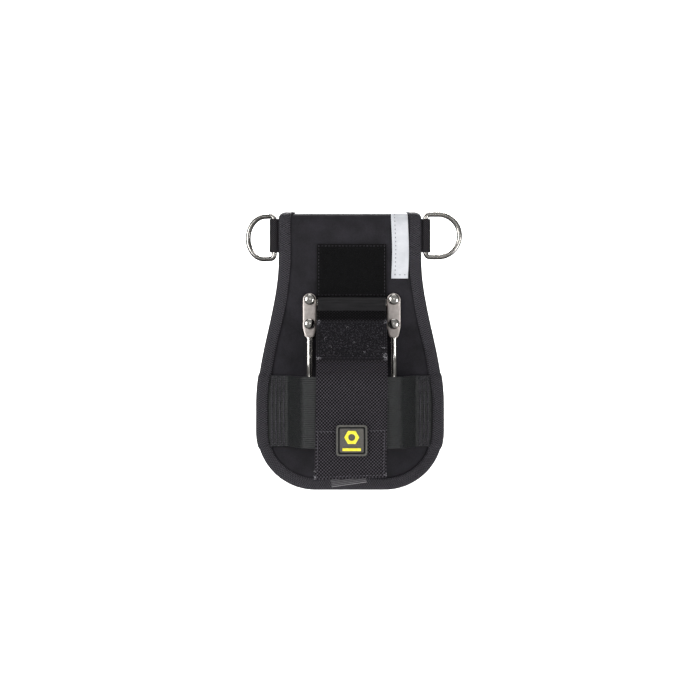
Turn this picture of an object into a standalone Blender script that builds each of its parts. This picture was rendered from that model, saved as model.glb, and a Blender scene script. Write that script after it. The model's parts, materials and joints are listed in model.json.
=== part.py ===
"""Belt holster for a hammer: a padded bell-shaped back panel, a steel cradle, an elastic band and a trap flap.

Metres, +Z up. The front faces -Y. The origin is the middle of the flat back face of the belt loop.
Depths in front of the panel's front face are called "forward", and grow towards -Y.
"""

import math

import bmesh
import bpy
from mathutils import Vector

MM = 0.001
GAP = 0.3 * MM  # air kept between pieces that touch

# Layers of the panel, from the wearer outwards
SHEET = 1.6 * MM  # belt loop and front cover fabric, with its backing
TUNNEL = 8.0 * MM  # room for the belt
REAR_COVER = 1.4 * MM
FOAM = 2.6 * MM
BOARD = 1.6 * MM

# Outline of the panel
TOP = 45.0 * MM
BOTTOM = -153.5 * MM
TOP_HALF = 51.1 * MM
WIDE_HALF = 66.6 * MM
FLARE_START = 12.0 * MM
FLARE_END = -92.0 * MM
CORNER = 41.8 * MM
FLARE_STEPS = 12
ARC_STEPS = 10

# Edge binding, a folded tape
TAPE = 0.8 * MM
TAPE_WIDTH = 8.5 * MM
BOARD_INSET = 11.0 * MM

# Belt loop
LOOP_HALF = 50.0 * MM
LOOP_SEWN_TOP = -50.0 * MM
LOOP_SEWN_BOTTOM = -62.0 * MM
LOOP_BACK_BOTTOM = -37.0 * MM

# D-rings and their webbing tabs
RING_WIRE = 2.0 * MM  # radius
RING_HALF = 15.25 * MM  # centreline half height
RING_REACH = 24.2 * MM  # centreline, leg to outermost point
RING_CORNER = 3.0 * MM
TAB_HALF = 12.0 * MM
TAB_THICK = 2.4 * MM
TAB_WALL = 1.15 * MM
TAB_ROOT = 41.0 * MM
ROOT_TOP = 39.6 * MM  # the root stops short of the fold over the panel's top
ROOT_THINNER = 0.1 * MM
RING_X = 54.3 * MM
RING_Z = 28.6 * MM
LEFT_RING_DROP = 1.1 * MM  # the left ring has slid down in its tab
LEFT_RING_SWING = math.radians(-36)  # the left ring rests swung back, towards the wearer

# Steel cradle and crossbar
HARDWARE_X = 1.2 * MM  # the hardware sits a little right of the panel's middle
ROD = 2.5 * MM  # radius
ROD_HALF_SPAN = 30.0 * MM
ROD_FORWARD = 2.9 * MM
CRADLE_FORWARD = 29.0 * MM
CRADLE_BEND = -66.0 * MM
CRADLE_FRONT = -100.0 * MM
STRAP_HALF = 4.9 * MM  # flattened end, half width
STRAP_THICK = 3.0 * MM
STRAP_BACK = 0.4 * MM
STRAP_TOP = -12.9 * MM
STRAP_SHOULDER = -37.0 * MM
STRAP_END = -44.0 * MM
STRAP_NECK = 2.7 * MM
RIVET_ZS = {"upper": -17.4 * MM, "lower": -34.8 * MM}
RIVET_SHANK = 1.6 * MM
RIVET_HOLE = 1.95 * MM
RIVET_HEAD = 4.0 * MM
RIVET_DOME = 2.2 * MM
RIVET_TAIL = 2.8 * MM
RIVET_TAIL_THICK = 0.7 * MM
BACKING_THICK = 1.0 * MM
BACKING_HALF = 5.5 * MM
BACKING_END = 5.5 * MM
CROSSBAR = 2.2 * MM  # radius
CROSSBAR_Z = -19.6 * MM
CROSSBAR_FORWARD = 4.4 * MM

# Elastic band
BAND_TOP = -71.5 * MM
BAND_BOTTOM = -122.5 * MM
BAND_THICK = 1.4 * MM
BAND_END = 66.3 * MM
BAND_FOOT = 45.5 * MM
BAND_CORNER = 11.0 * MM

# Trap flap and what is sewn to it
FLAP_HALF = 24.8 * MM
FLAP_THICK = 2.4 * MM
SLEEVE_HALF = 24.3 * MM
SLEEVE_WALL = 1.5 * MM
SLEEVE_PLAY = 0.25 * MM
FLAP_BEND = -72.0 * MM
FLAP_BEND_RADIUS = 14.0 * MM
FLAP_END = -142.0 * MM
PATCH_THICK = 1.2 * MM
CLOSURE_THICK = 1.0 * MM
CLOSURE_HALF = 22.0 * MM
CLOSURE_TOP = -80.0 * MM
CLOSURE_BOTTOM = -118.0 * MM
HOOK_START = 16.3 * MM  # along the flap's slope from the crossbar
HOOK_LENGTH = 33.0 * MM
HOOK_HALF = 23.8 * MM

# Small sewn pieces
LOOP_PATCH_TOP = 22.2 * MM
LOOP_PATCH_BOTTOM = -15.4 * MM
LOOP_PATCH_THICK = 1.4 * MM
STRIP_LEFT = 29.7 * MM
STRIP_WIDTH = 12.0 * MM
STRIP_BOTTOM = -2.3 * MM
STRIP_THICK = 0.5 * MM
STRIP_OVER = math.radians(125)  # how far the strip follows the fold
BADGE_SIDE = 21.5 * MM
BADGE_Z = -115.8 * MM
BADGE_THICK = 1.8 * MM
BADGE_RIM = 1.6 * MM
BADGE_SINK = 0.7 * MM
EMBLEM_RADIUS = 5.2 * MM
EMBLEM_HOLE = 2.4 * MM
LABEL_HALF = 12.2 * MM
LABEL_HEIGHT = 12.0 * MM
LABEL_THICK = 0.7 * MM
LABEL_TILT = math.radians(8)

# Levels in Y that follow from the layers
REAR_BACK = -(SHEET + TUNNEL)
REAR_FRONT = REAR_BACK - REAR_COVER
FOAM_BACK = REAR_FRONT - GAP
FOAM_FRONT = FOAM_BACK - FOAM
BOARD_BACK = FOAM_FRONT - GAP
BOARD_FRONT = BOARD_BACK - BOARD
COVER_BACK = BOARD_FRONT - GAP
COVER_FRONT = COVER_BACK - SHEET
RING_Y = (REAR_FRONT + COVER_BACK) / 2
FOLD = -COVER_FRONT / 2  # outer radius of the fold at the top
FOLD_Z = TOP - FOLD
BAND_FORWARD = CRADLE_FORWARD + ROD + 0.4 * MM + BAND_THICK / 2
BAND_FLAT = GAP + TAPE + GAP + BAND_THICK / 2
CLOSURE_LOOP = BAND_FORWARD + BAND_THICK / 2 + GAP
CLOSURE_HOOK = CLOSURE_LOOP + CLOSURE_THICK + GAP
FLAP_FORWARD = CLOSURE_HOOK + CLOSURE_THICK + GAP + FLAP_THICK / 2

FABRIC = ((0.030, 0.029, 0.033), 0.85, 0.0)
WEBBING = ((0.022, 0.021, 0.023), 0.8, 0.0)
HOOK_AND_LOOP = ((0.008, 0.008, 0.009), 0.95, 0.0)
ELASTIC = ((0.035, 0.035, 0.035), 0.75, 0.0)
REFLECTIVE = ((0.62, 0.64, 0.66), 0.45, 0.1)
STEEL = ((0.62, 0.61, 0.59), 0.18, 1.0)
FOAM_GREY = ((0.10, 0.10, 0.11), 0.95, 0.0)
BOARD_BLACK = ((0.02, 0.02, 0.02), 0.5, 0.0)
RUBBER = ((0.03, 0.03, 0.03), 0.6, 0.0)
YELLOW = ((0.75, 0.62, 0.02), 0.5, 0.0)
LABEL_GREY = ((0.12, 0.12, 0.12), 0.7, 0.0)


def y_at(forward):
    """The Y of a point this far in front of the panel's front face."""
    return COVER_FRONT - forward


def clear_scene():
    for obj in list(bpy.data.objects):
        bpy.data.objects.remove(obj)


def material(name, finish):
    colour, roughness, metallic = finish
    made = bpy.data.materials.get(name) or bpy.data.materials.new(name)
    made.use_nodes = True
    shader = made.node_tree.nodes["Principled BSDF"]
    shader.inputs["Base Color"].default_value = (*colour, 1)
    shader.inputs["Roughness"].default_value = roughness
    shader.inputs["Metallic"].default_value = metallic
    return made


def collection(name):
    made = bpy.data.collections.new(name)
    bpy.context.scene.collection.children.link(made)
    return made


clear_scene()
HOLSTER = collection("hammer_holster")
CUTTERS = collection("cutters")
CUTTERS.hide_render = True


# ---- points -------------------------------------------------------------------------------------

def smooth(t):
    t = min(max(t, 0.0), 1.0)
    return t * t * (3 - 2 * t)


def half_width(z):
    share = smooth((FLARE_START - z) / (FLARE_START - FLARE_END))
    return TOP_HALF + (WIDE_HALF - TOP_HALF) * share


def arc(centre, radius, start, end, steps):
    """Points on an arc in a plane, angles in radians, both ends included."""
    return [
        (centre[0] + radius * math.cos(a), centre[1] + radius * math.sin(a))
        for a in (start + (end - start) * i / steps for i in range(steps + 1))
    ]


def beside(path, distance):
    """An open path in a plane moved sideways, to the right of its direction."""
    moved = []
    for i, point in enumerate(path):
        here = Vector(point)
        before = (here - Vector(path[i - 1])).normalized() if i else None
        after = (Vector(path[i + 1]) - here).normalized() if i + 1 < len(path) else None
        before, after = before or after, after or before
        side_a = Vector((before.y, -before.x))
        side_b = Vector((after.y, -after.x))
        middle = (side_a + side_b).normalized()
        moved.append(tuple(here + middle * distance / middle.dot(side_a)))
    return moved


def ribbon(path, thickness):
    """The closed outline of a strip that follows a path."""
    return beside(path, thickness / 2) + beside(path, -thickness / 2)[::-1]


def filleted(corners, radii, steps=6):
    """A path through corners in a plane or in space, with each inner corner rounded by its radius."""
    corners = [Vector(c) for c in corners]
    path = [corners[0]]
    for corner, before, after, radius in zip(corners[1:-1], corners, corners[2:], radii):
        back = (before - corner).normalized()
        on = (after - corner).normalized()
        half = back.angle(on) / 2
        centre = corner + (back + on).normalized() * (radius / math.sin(half))
        first = corner + back * (radius / math.tan(half)) - centre
        last = corner + on * (radius / math.tan(half)) - centre
        turn = first.angle(last)
        for i in range(steps + 1):
            t = i / steps
            share_a = math.sin((1 - t) * turn) / math.sin(turn)
            share_b = math.sin(t * turn) / math.sin(turn)
            path.append(centre + first * share_a + last * share_b)
    path.append(corners[-1])
    return [tuple(p) for p in path]


def side_path(inset):
    """The panel's right side in X and Z, from the start of the fold down to the middle of the bottom."""
    path = [(TOP_HALF, FOLD_Z)]
    for i in range(FLARE_STEPS + 1):
        z = FLARE_START + (FLARE_END - FLARE_START) * i / FLARE_STEPS
        path.append((half_width(z), z))
    path += arc((WIDE_HALF - CORNER, BOTTOM + CORNER), CORNER, 0, -math.pi / 2, ARC_STEPS)
    path.append((0, BOTTOM))
    return beside(path, inset)


def panel_outline(inset):
    right = side_path(inset)[:-1]
    return right + [(-x, z) for x, z in right[::-1]]


# ---- shapes -------------------------------------------------------------------------------------

def add(name, data, finish=None, slot=None, into=None):
    made = bpy.data.objects.new(name, data)
    (into or HOLSTER).objects.link(made)
    if finish:
        data.materials.append(material(slot or name, finish))
    return made


def flat_curve(name, outline, thickness, finish, slot):
    data = bpy.data.curves.new(name, "CURVE")
    data.dimensions = "2D"
    data.fill_mode = "BOTH"
    data.extrude = thickness / 2
    spline = data.splines.new("POLY")
    spline.points.add(len(outline) - 1)
    for point, (x, y) in zip(spline.points, outline):
        point.co = (x, y, 0, 1)
    spline.use_cyclic_u = True
    return add(name, data, finish, slot)


def upright(name, outline, back, front, finish=None, slot=None):
    """A plate that stands in X and Z, from one Y to another."""
    obj = flat_curve(name, outline, abs(back - front), finish, slot)
    obj.rotation_euler = (math.pi / 2, 0, 0)
    obj.location = (0, (back + front) / 2, 0)
    return as_mesh(obj)


def along_x(name, outline, left, right, finish=None, slot=None):
    """A section in Y and Z drawn out along X."""
    obj = flat_curve(name, outline, right - left, finish, slot)
    obj.rotation_euler = (math.pi / 2, 0, math.pi / 2)
    obj.location = ((left + right) / 2, 0, 0)
    return as_mesh(obj)


def along_z(name, outline, bottom, top, finish=None, slot=None):
    """A section in X and Y drawn out along Z."""
    obj = flat_curve(name, outline, top - bottom, finish, slot)
    obj.location = (0, 0, (bottom + top) / 2)
    return as_mesh(obj)


def wire(name, path, radius, closed, finish, slot):
    data = bpy.data.curves.new(name, "CURVE")
    data.dimensions = "3D"
    data.bevel_depth = radius
    data.bevel_resolution = 4
    data.use_fill_caps = not closed
    spline = data.splines.new("POLY")
    spline.points.add(len(path) - 1)
    for point, place in zip(spline.points, path):
        point.co = (*place, 1)
    spline.use_cyclic_u = closed
    return add(name, data, finish, slot)


def as_mesh(obj):
    """The evaluated shape as a mesh object of the same name, its caps welded to its sides."""
    bpy.context.view_layer.update()
    evaluated = obj.evaluated_get(bpy.context.evaluated_depsgraph_get())
    mesh = bpy.data.meshes.new_from_object(evaluated)
    work = bmesh.new()
    work.from_mesh(mesh)
    bmesh.ops.remove_doubles(work, verts=work.verts, dist=0.00001)
    bmesh.ops.recalc_face_normals(work, faces=work.faces)
    work.to_mesh(mesh)
    work.free()
    name = obj.name
    place = obj.matrix_world.copy()
    bpy.data.objects.remove(obj)
    made = add(name, mesh)
    made.matrix_world = place
    return made


def box(name, low, high, finish=None, slot=None):
    mesh = bpy.data.meshes.new(name)
    work = bmesh.new()
    bmesh.ops.create_cube(work, size=1)
    size = [b - a for a, b in zip(low, high)]
    bmesh.ops.scale(work, vec=size, verts=work.verts)
    work.to_mesh(mesh)
    work.free()
    obj = add(name, mesh, finish, slot)
    obj.location = [(a + b) / 2 for a, b in zip(low, high)]
    return obj


def rod(name, centre, axis, radius, length, finish=None, slot=None, sides=24):
    """A round bar along the named axis."""
    mesh = bpy.data.meshes.new(name)
    work = bmesh.new()
    bmesh.ops.create_cone(
        work, cap_ends=True, segments=sides, radius1=radius, radius2=radius, depth=length
    )
    work.to_mesh(mesh)
    work.free()
    obj = add(name, mesh, finish, slot)
    turns = {"X": (0, math.pi / 2, 0), "Y": (math.pi / 2, 0, 0), "Z": (0, 0, 0)}
    obj.rotation_euler = turns[axis]
    obj.location = centre
    return obj


def turned(name, profile, finish, slot, steps=24):
    """A profile of radius and height turned about Z."""
    mesh = bpy.data.meshes.new(name)
    points = [(r, 0, h) for r, h in profile]
    mesh.from_pydata(points, [(i, i + 1) for i in range(len(points) - 1)], [])
    obj = add(name, mesh, finish, slot)
    screw = obj.modifiers.new("turn", "SCREW")
    screw.steps = steps
    screw.render_steps = steps
    screw.use_merge_vertices = True
    screw.merge_threshold = 0.00001
    return obj


def combine(obj, other, operation):
    """Cuts or joins with a helper object, which goes to the cutters."""
    modifier = obj.modifiers.new(other.name, "BOOLEAN")
    modifier.operation = operation
    modifier.object = other
    for owner in list(other.users_collection):
        owner.objects.unlink(other)
    CUTTERS.objects.link(other)
    other.hide_render = True
    other.display_type = "WIRE"


def shade(obj, angle=35):
    obj.data.shade_smooth()
    obj.data.set_sharp_from_angle(angle=math.radians(angle))


# ---- the panel ----------------------------------------------------------------------------------

def rivet_places():
    for side, sign in (("left", -1), ("right", 1)):
        for height, z in RIVET_ZS.items():
            yield f"{height}_{side}", HARDWARE_X + sign * ROD_HALF_SPAN, z


def cut_rivet_holes(obj, y, depth):
    for place, x, z in rivet_places():
        hole = rod(f"{obj.name}_hole_{place}", (x, y, z), "Y", RIVET_HOLE, depth, sides=16)
        combine(obj, hole, "DIFFERENCE")


def make_covers():
    inset = TAPE + GAP
    through = 6 * MM
    front = upright("front_cover", panel_outline(inset), COVER_BACK, COVER_FRONT, FABRIC, "fabric")
    cut_rivet_holes(front, COVER_FRONT, through)
    board = upright(
        "stiffener_board", panel_outline(BOARD_INSET), BOARD_BACK, BOARD_FRONT, BOARD_BLACK, "board"
    )
    cut_rivet_holes(board, BOARD_FRONT, through)
    foam = upright("foam_pad", panel_outline(BOARD_INSET), FOAM_BACK, FOAM_FRONT, FOAM_GREY, "foam")
    for side, sign in (("left", -1), ("right", 1)):
        x = HARDWARE_X + sign * ROD_HALF_SPAN
        reach = BACKING_HALF + GAP
        slot = box(
            f"foam_slot_{side}",
            (x - reach, FOAM_FRONT - MM, RIVET_ZS["lower"] - BACKING_END - GAP),
            (x + reach, FOAM_BACK + MM, RIVET_ZS["upper"] + BACKING_END + GAP),
        )
        combine(foam, slot, "DIFFERENCE")
    upright("rear_cover", panel_outline(inset), REAR_BACK, REAR_FRONT, FABRIC, "fabric")


def make_binding():
    """A tape folded round the edge, down one side, along the bottom and up the other."""
    back = REAR_BACK + GAP + TAPE
    front = COVER_FRONT - GAP - TAPE
    tape = upright("edge_binding", panel_outline(0), back, front, WEBBING, "binding")
    channel = upright(
        "binding_channel", panel_outline(TAPE), REAR_BACK + GAP, COVER_FRONT - GAP
    )
    window = upright("binding_window", panel_outline(TAPE_WIDTH), back + MM, front - MM)
    over = 2 * MM
    lid = box(
        "binding_top",
        (-WIDE_HALF, front - over, FOLD_Z - GAP),
        (WIDE_HALF, back + over, TOP),
    )
    combine(tape, lid, "DIFFERENCE")
    combine(tape, channel, "DIFFERENCE")
    combine(tape, window, "DIFFERENCE")
    for side, sign in (("left", -1), ("right", 1)):
        ends = sorted((sign * (TOP_HALF - over), sign * (TOP_HALF + over)))
        slot = box(
            f"binding_slot_{side}",
            (ends[0], RING_Y - TAB_THICK / 2 - GAP, RING_Z - TAB_HALF - GAP),
            (ends[1], RING_Y + TAB_THICK / 2 + GAP, RING_Z + TAB_HALF + GAP),
        )
        combine(tape, slot, "DIFFERENCE")


def fold_path(front_z, sweep, outside):
    """Up the front, then over the fold by an angle, this far outside the outer fabric's middle."""
    radius = FOLD - SHEET / 2 + outside
    over = arc((-FOLD, FOLD_Z), radius, math.pi, math.pi - sweep, 14)
    return [(-FOLD - radius, front_z), *over]


def make_belt_loop():
    """The sheet goes over the top, down the back and in to the rear cover, where it is sewn down."""
    sewn_y = REAR_BACK + GAP + SHEET / 2
    over = fold_path(FOLD_Z + GAP, math.pi, 0)
    down = filleted(
        [
            (-SHEET / 2, FOLD_Z - 2 * MM),
            (-SHEET / 2, LOOP_BACK_BOTTOM),
            (sewn_y, LOOP_SEWN_TOP),
            (sewn_y, LOOP_SEWN_BOTTOM),
        ],
        [6 * MM, 6 * MM],
    )
    path = over[:1] + over[2:] + down
    along_x("belt_loop", ribbon(path, SHEET), -LOOP_HALF, LOOP_HALF, FABRIC, "fabric")


def make_reflective_strip():
    outside = SHEET / 2 + GAP + STRIP_THICK / 2
    path = fold_path(STRIP_BOTTOM, STRIP_OVER, outside)
    along_x(
        "reflective_strip",
        ribbon(path, STRIP_THICK),
        STRIP_LEFT,
        STRIP_LEFT + STRIP_WIDTH,
        REFLECTIVE,
        "reflective",
    )


def make_loop_patch():
    box(
        "loop_patch",
        (HARDWARE_X - FLAP_HALF, y_at(GAP + LOOP_PATCH_THICK), LOOP_PATCH_BOTTOM),
        (HARDWARE_X + FLAP_HALF, y_at(GAP), LOOP_PATCH_TOP),
        HOOK_AND_LOOP,
        "loop_fabric",
    )


# ---- D-rings ------------------------------------------------------------------------------------

def ring_path():
    """Centreline in X and Z: a straight leg at X 0, two square corners and a half round."""
    reach = RING_REACH - RING_HALF
    leg = RING_HALF - RING_CORNER
    quarter = math.pi / 2
    path = arc((RING_CORNER, -leg), RING_CORNER, -2 * quarter, -quarter, 4)
    path += arc((reach, 0), RING_HALF, -quarter, quarter, 16)
    path += arc((RING_CORNER, leg), RING_CORNER, quarter, 2 * quarter, 4)
    return [(x, 0, z) for x, z in path]


def make_d_ring(side, sign, swing):
    ring = wire(f"d_ring_{side}", ring_path(), RING_WIRE, True, STEEL, "ring_steel")
    drop = 0 if sign > 0 else LEFT_RING_DROP
    ring.location = (sign * RING_X, RING_Y, RING_Z - drop)
    ring.rotation_euler = (0, 0, swing if sign > 0 else math.pi + swing)
    centre = (sign * RING_X, RING_Y, RING_Z)
    edges = sorted((sign * (LOOP_HALF + GAP), sign * (RING_X - RING_WIRE)))
    tab = box(
        f"d_ring_tab_{side}",
        (edges[0], RING_Y - TAB_THICK / 2, RING_Z - TAB_HALF),
        (edges[1], RING_Y + TAB_THICK / 2, RING_Z + TAB_HALF),
        WEBBING,
        "webbing",
    )
    roots = sorted((sign * TAB_ROOT, sign * (LOOP_HALF + MM)))
    root = box(
        f"tab_root_{side}",
        (roots[0], RING_Y - TAB_THICK / 2 + ROOT_THINNER, RING_Z - TAB_HALF + ROOT_THINNER),
        (roots[1], RING_Y + TAB_THICK / 2 - ROOT_THINNER, ROOT_TOP),
    )
    inner = RING_WIRE + 0.35 * MM
    sleeve = rod(f"tab_sleeve_{side}", centre, "Z", inner + TAB_WALL, 2 * TAB_HALF)
    bore = rod(f"tab_bore_{side}", centre, "Z", inner, 3 * TAB_HALF)
    combine(tab, root, "UNION")
    combine(tab, sleeve, "UNION")
    combine(tab, bore, "DIFFERENCE")


# ---- steel cradle -------------------------------------------------------------------------------

def strap_outline(x):
    """The flattened end of the rod: round on top, with shoulders that close on the rod."""
    centre = (x, STRAP_TOP - STRAP_HALF)
    top = arc(centre, STRAP_HALF, 0, math.pi, 12)
    neck_x = STRAP_NECK
    return top + [
        (x - STRAP_HALF, STRAP_SHOULDER),
        (x - neck_x, STRAP_END),
        (x + neck_x, STRAP_END),
        (x + STRAP_HALF, STRAP_SHOULDER),
    ]


def make_cradle():
    """One rod: flattened and riveted at both ends, bent down and forward into a loop for the handle."""
    near = y_at(ROD_FORWARD)
    far = y_at(CRADLE_FORWARD)
    start = STRAP_END + 4 * MM
    left, right = (HARDWARE_X + sign * ROD_HALF_SPAN for sign in (-1, 1))
    corners = [
        (left, near, start),
        (left, near, CRADLE_BEND),
        (left, far, CRADLE_FRONT),
        (right, far, CRADLE_FRONT),
        (right, near, CRADLE_BEND),
        (right, near, start),
    ]
    path = filleted(corners, [12 * MM, 9 * MM, 9 * MM, 12 * MM])
    cradle = as_mesh(wire("cradle_loop", path, ROD, False, STEEL, "cradle_steel"))
    for side, x in (("left", left), ("right", right)):
        back = y_at(STRAP_BACK)
        strap = upright(f"strap_{side}", strap_outline(x), back, back - STRAP_THICK)
        combine(cradle, strap, "UNION")
    cut_rivet_holes(cradle, y_at(STRAP_BACK), 12 * MM)
    length = 2 * (ROD_HALF_SPAN - STRAP_HALF - GAP)
    place = (HARDWARE_X, y_at(CROSSBAR_FORWARD), CROSSBAR_Z)
    bar = rod("crossbar", place, "X", CROSSBAR, length, STEEL, "cradle_steel")
    shade(bar)


def make_rivets():
    """Domed in front, with a flat tail behind the backing plate."""
    head_y = y_at(STRAP_BACK + STRAP_THICK + GAP)
    tail_y = BOARD_BACK + GAP + BACKING_THICK + GAP
    shank = tail_y - head_y
    swell = [
        (RIVET_HEAD * math.cos(a), RIVET_DOME * math.sin(a))
        for a in (math.pi / 2 * i / 6 for i in range(6, -1, -1))
    ]
    profile = [(0, RIVET_DOME), *swell[1:]] + [
        (RIVET_SHANK, 0),
        (RIVET_SHANK, -shank),
        (RIVET_TAIL, -shank),
        (RIVET_TAIL, -shank - RIVET_TAIL_THICK),
        (0, -shank - RIVET_TAIL_THICK),
    ]
    for place, x, z in rivet_places():
        rivet = turned(f"rivet_{place}", profile, STEEL, "cradle_steel")
        rivet.rotation_euler = (math.pi / 2, 0, 0)
        rivet.location = (x, head_y, z)


def make_backing_plates():
    for side, sign in (("left", -1), ("right", 1)):
        x = HARDWARE_X + sign * ROD_HALF_SPAN
        plate = box(
            f"backing_plate_{side}",
            (x - BACKING_HALF, BOARD_BACK + GAP, RIVET_ZS["lower"] - BACKING_END),
            (x + BACKING_HALF, BOARD_BACK + GAP + BACKING_THICK, RIVET_ZS["upper"] + BACKING_END),
            STEEL,
            "plate_steel",
        )
        for height, z in RIVET_ZS.items():
            name = f"backing_hole_{height}_{side}"
            hole = rod(name, (x, BOARD_BACK, z), "Y", RIVET_HOLE, 8 * MM, sides=16)
            combine(plate, hole, "DIFFERENCE")


# ---- elastic band and trap flap -----------------------------------------------------------------

def make_elastic_band():
    """Sewn flat near both edges, it stands out round the cradle between them."""
    side_x = ROD_HALF_SPAN + ROD + 0.4 * MM + BAND_THICK / 2
    corners = [
        (BAND_END, y_at(BAND_FLAT)),
        (HARDWARE_X + BAND_FOOT, y_at(BAND_FLAT)),
        (HARDWARE_X + side_x, y_at(BAND_FORWARD)),
        (HARDWARE_X - side_x, y_at(BAND_FORWARD)),
        (HARDWARE_X - BAND_FOOT, y_at(BAND_FLAT)),
        (-BAND_END, y_at(BAND_FLAT)),
    ]
    path = filleted(corners, [3 * MM, BAND_CORNER, BAND_CORNER, 3 * MM])
    along_z("elastic_band", ribbon(path, BAND_THICK), BAND_BOTTOM, BAND_TOP, ELASTIC, "elastic")
    box(
        "closure_loop_patch",
        (HARDWARE_X - CLOSURE_HALF, y_at(CLOSURE_LOOP + CLOSURE_THICK), CLOSURE_BOTTOM),
        (HARDWARE_X + CLOSURE_HALF, y_at(CLOSURE_LOOP), CLOSURE_TOP),
        HOOK_AND_LOOP,
        "loop_fabric",
    )


def make_flap():
    """Webbing sewn into a sleeve round the crossbar. It hangs over the cradle and down the band."""
    hinge = Vector((y_at(CROSSBAR_FORWARD), CROSSBAR_Z))
    bend = Vector((y_at(FLAP_FORWARD), FLAP_BEND))
    slope = (bend - hinge).normalized()
    bore = CROSSBAR + SLEEVE_PLAY
    start = hinge + slope * (bore + SLEEVE_WALL / 2)
    end = (bend.x, FLAP_END)
    path = filleted([start, bend, end], [FLAP_BEND_RADIUS])
    left, right = HARDWARE_X - FLAP_HALF, HARDWARE_X + FLAP_HALF
    flap = along_x("trap_flap", ribbon(path, FLAP_THICK), left, right, WEBBING, "webbing")
    centre = (HARDWARE_X, hinge.x, hinge.y)
    sleeve = rod("flap_sleeve", centre, "X", bore + SLEEVE_WALL, 2 * SLEEVE_HALF)
    hole = rod("flap_bore", centre, "X", bore, 3 * SLEEVE_HALF)
    combine(flap, sleeve, "UNION")
    combine(flap, hole, "DIFFERENCE")

    outward = Vector((slope.y, -slope.x))
    patch_middle = hinge + slope * (HOOK_START + HOOK_LENGTH / 2)
    patch_middle += outward * (FLAP_THICK / 2 + GAP + PATCH_THICK / 2)
    half = (HOOK_HALF, PATCH_THICK / 2, HOOK_LENGTH / 2)
    patch = box("hook_patch", [-h for h in half], half, HOOK_AND_LOOP, "hook_fabric")
    patch.location = (HARDWARE_X, patch_middle.x, patch_middle.y)
    patch.rotation_euler = (math.atan2(slope.x, -slope.y), 0, 0)

    box(
        "closure_hook_patch",
        (HARDWARE_X - CLOSURE_HALF, y_at(CLOSURE_HOOK + CLOSURE_THICK), CLOSURE_BOTTOM),
        (HARDWARE_X + CLOSURE_HALF, y_at(CLOSURE_HOOK), CLOSURE_TOP),
        HOOK_AND_LOOP,
        "hook_fabric",
    )


def make_badge():
    """A moulded rubber badge with a raised rim, a yellow hexagon nut mark and a plain bar."""
    half = BADGE_SIDE / 2
    back = FLAP_FORWARD + FLAP_THICK / 2 + GAP
    front = back + BADGE_THICK
    corner = 2 * MM
    reach = half - corner
    quarter = math.pi / 2
    outline = []
    for i, (sx, sz) in enumerate(((1, 1), (-1, 1), (-1, -1), (1, -1))):
        centre = (HARDWARE_X + sx * reach, BADGE_Z + sz * reach)
        outline += arc(centre, corner, i * quarter, (i + 1) * quarter, 4)
    base = upright("badge_base", outline, y_at(back), y_at(front), RUBBER, "badge_rubber")
    inner = half - BADGE_RIM
    floor = front - BADGE_SINK
    sink = box(
        "badge_sink",
        (HARDWARE_X - inner, y_at(front + MM), BADGE_Z - inner),
        (HARDWARE_X + inner, y_at(floor), BADGE_Z + inner),
    )
    combine(base, sink, "DIFFERENCE")

    mark_back = y_at(floor + 0.1 * MM)
    mark_front = y_at(front)
    nut_z = BADGE_Z + 2.2 * MM
    nut = arc((HARDWARE_X, nut_z), EMBLEM_RADIUS, 0, 2 * math.pi, 6)[:-1]
    emblem = upright("badge_emblem", nut, mark_back, mark_front, YELLOW, "badge_yellow")
    hole = rod("emblem_hole", (HARDWARE_X, mark_back, nut_z), "Y", EMBLEM_HOLE, 4 * MM)
    combine(emblem, hole, "DIFFERENCE")
    bar_z = BADGE_Z - 6.2 * MM
    box(
        "badge_bar",
        (HARDWARE_X - 6.4 * MM, mark_front, bar_z - MM),
        (HARDWARE_X + 6.4 * MM, mark_back, bar_z + MM),
        YELLOW,
        "badge_yellow",
    )


def make_label():
    """A small woven label sewn behind the flap's lower edge, a little askew."""
    forward = FLAP_FORWARD - FLAP_THICK / 2 - GAP - LABEL_THICK / 2
    half = (LABEL_HALF, LABEL_THICK / 2, LABEL_HEIGHT / 2)
    label = box("care_label", [-h for h in half], half, LABEL_GREY, "label")
    label.location = (HARDWARE_X - 2.5 * MM, y_at(forward), FLAP_END + MM)
    label.rotation_euler = (0, -LABEL_TILT, 0)


make_covers()
make_binding()
make_belt_loop()
make_reflective_strip()
make_loop_patch()
make_d_ring("left", -1, LEFT_RING_SWING)
make_d_ring("right", 1, 0)
make_cradle()
make_rivets()
make_backing_plates()
make_elastic_band()
make_flap()
make_badge()
make_label()
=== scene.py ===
"""A belt-worn hammer holster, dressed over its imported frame: panel, webbing, elastic, steel."""

import json
import math
import random

import bmesh
import bpy
from mathutils import Matrix, Vector


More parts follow.
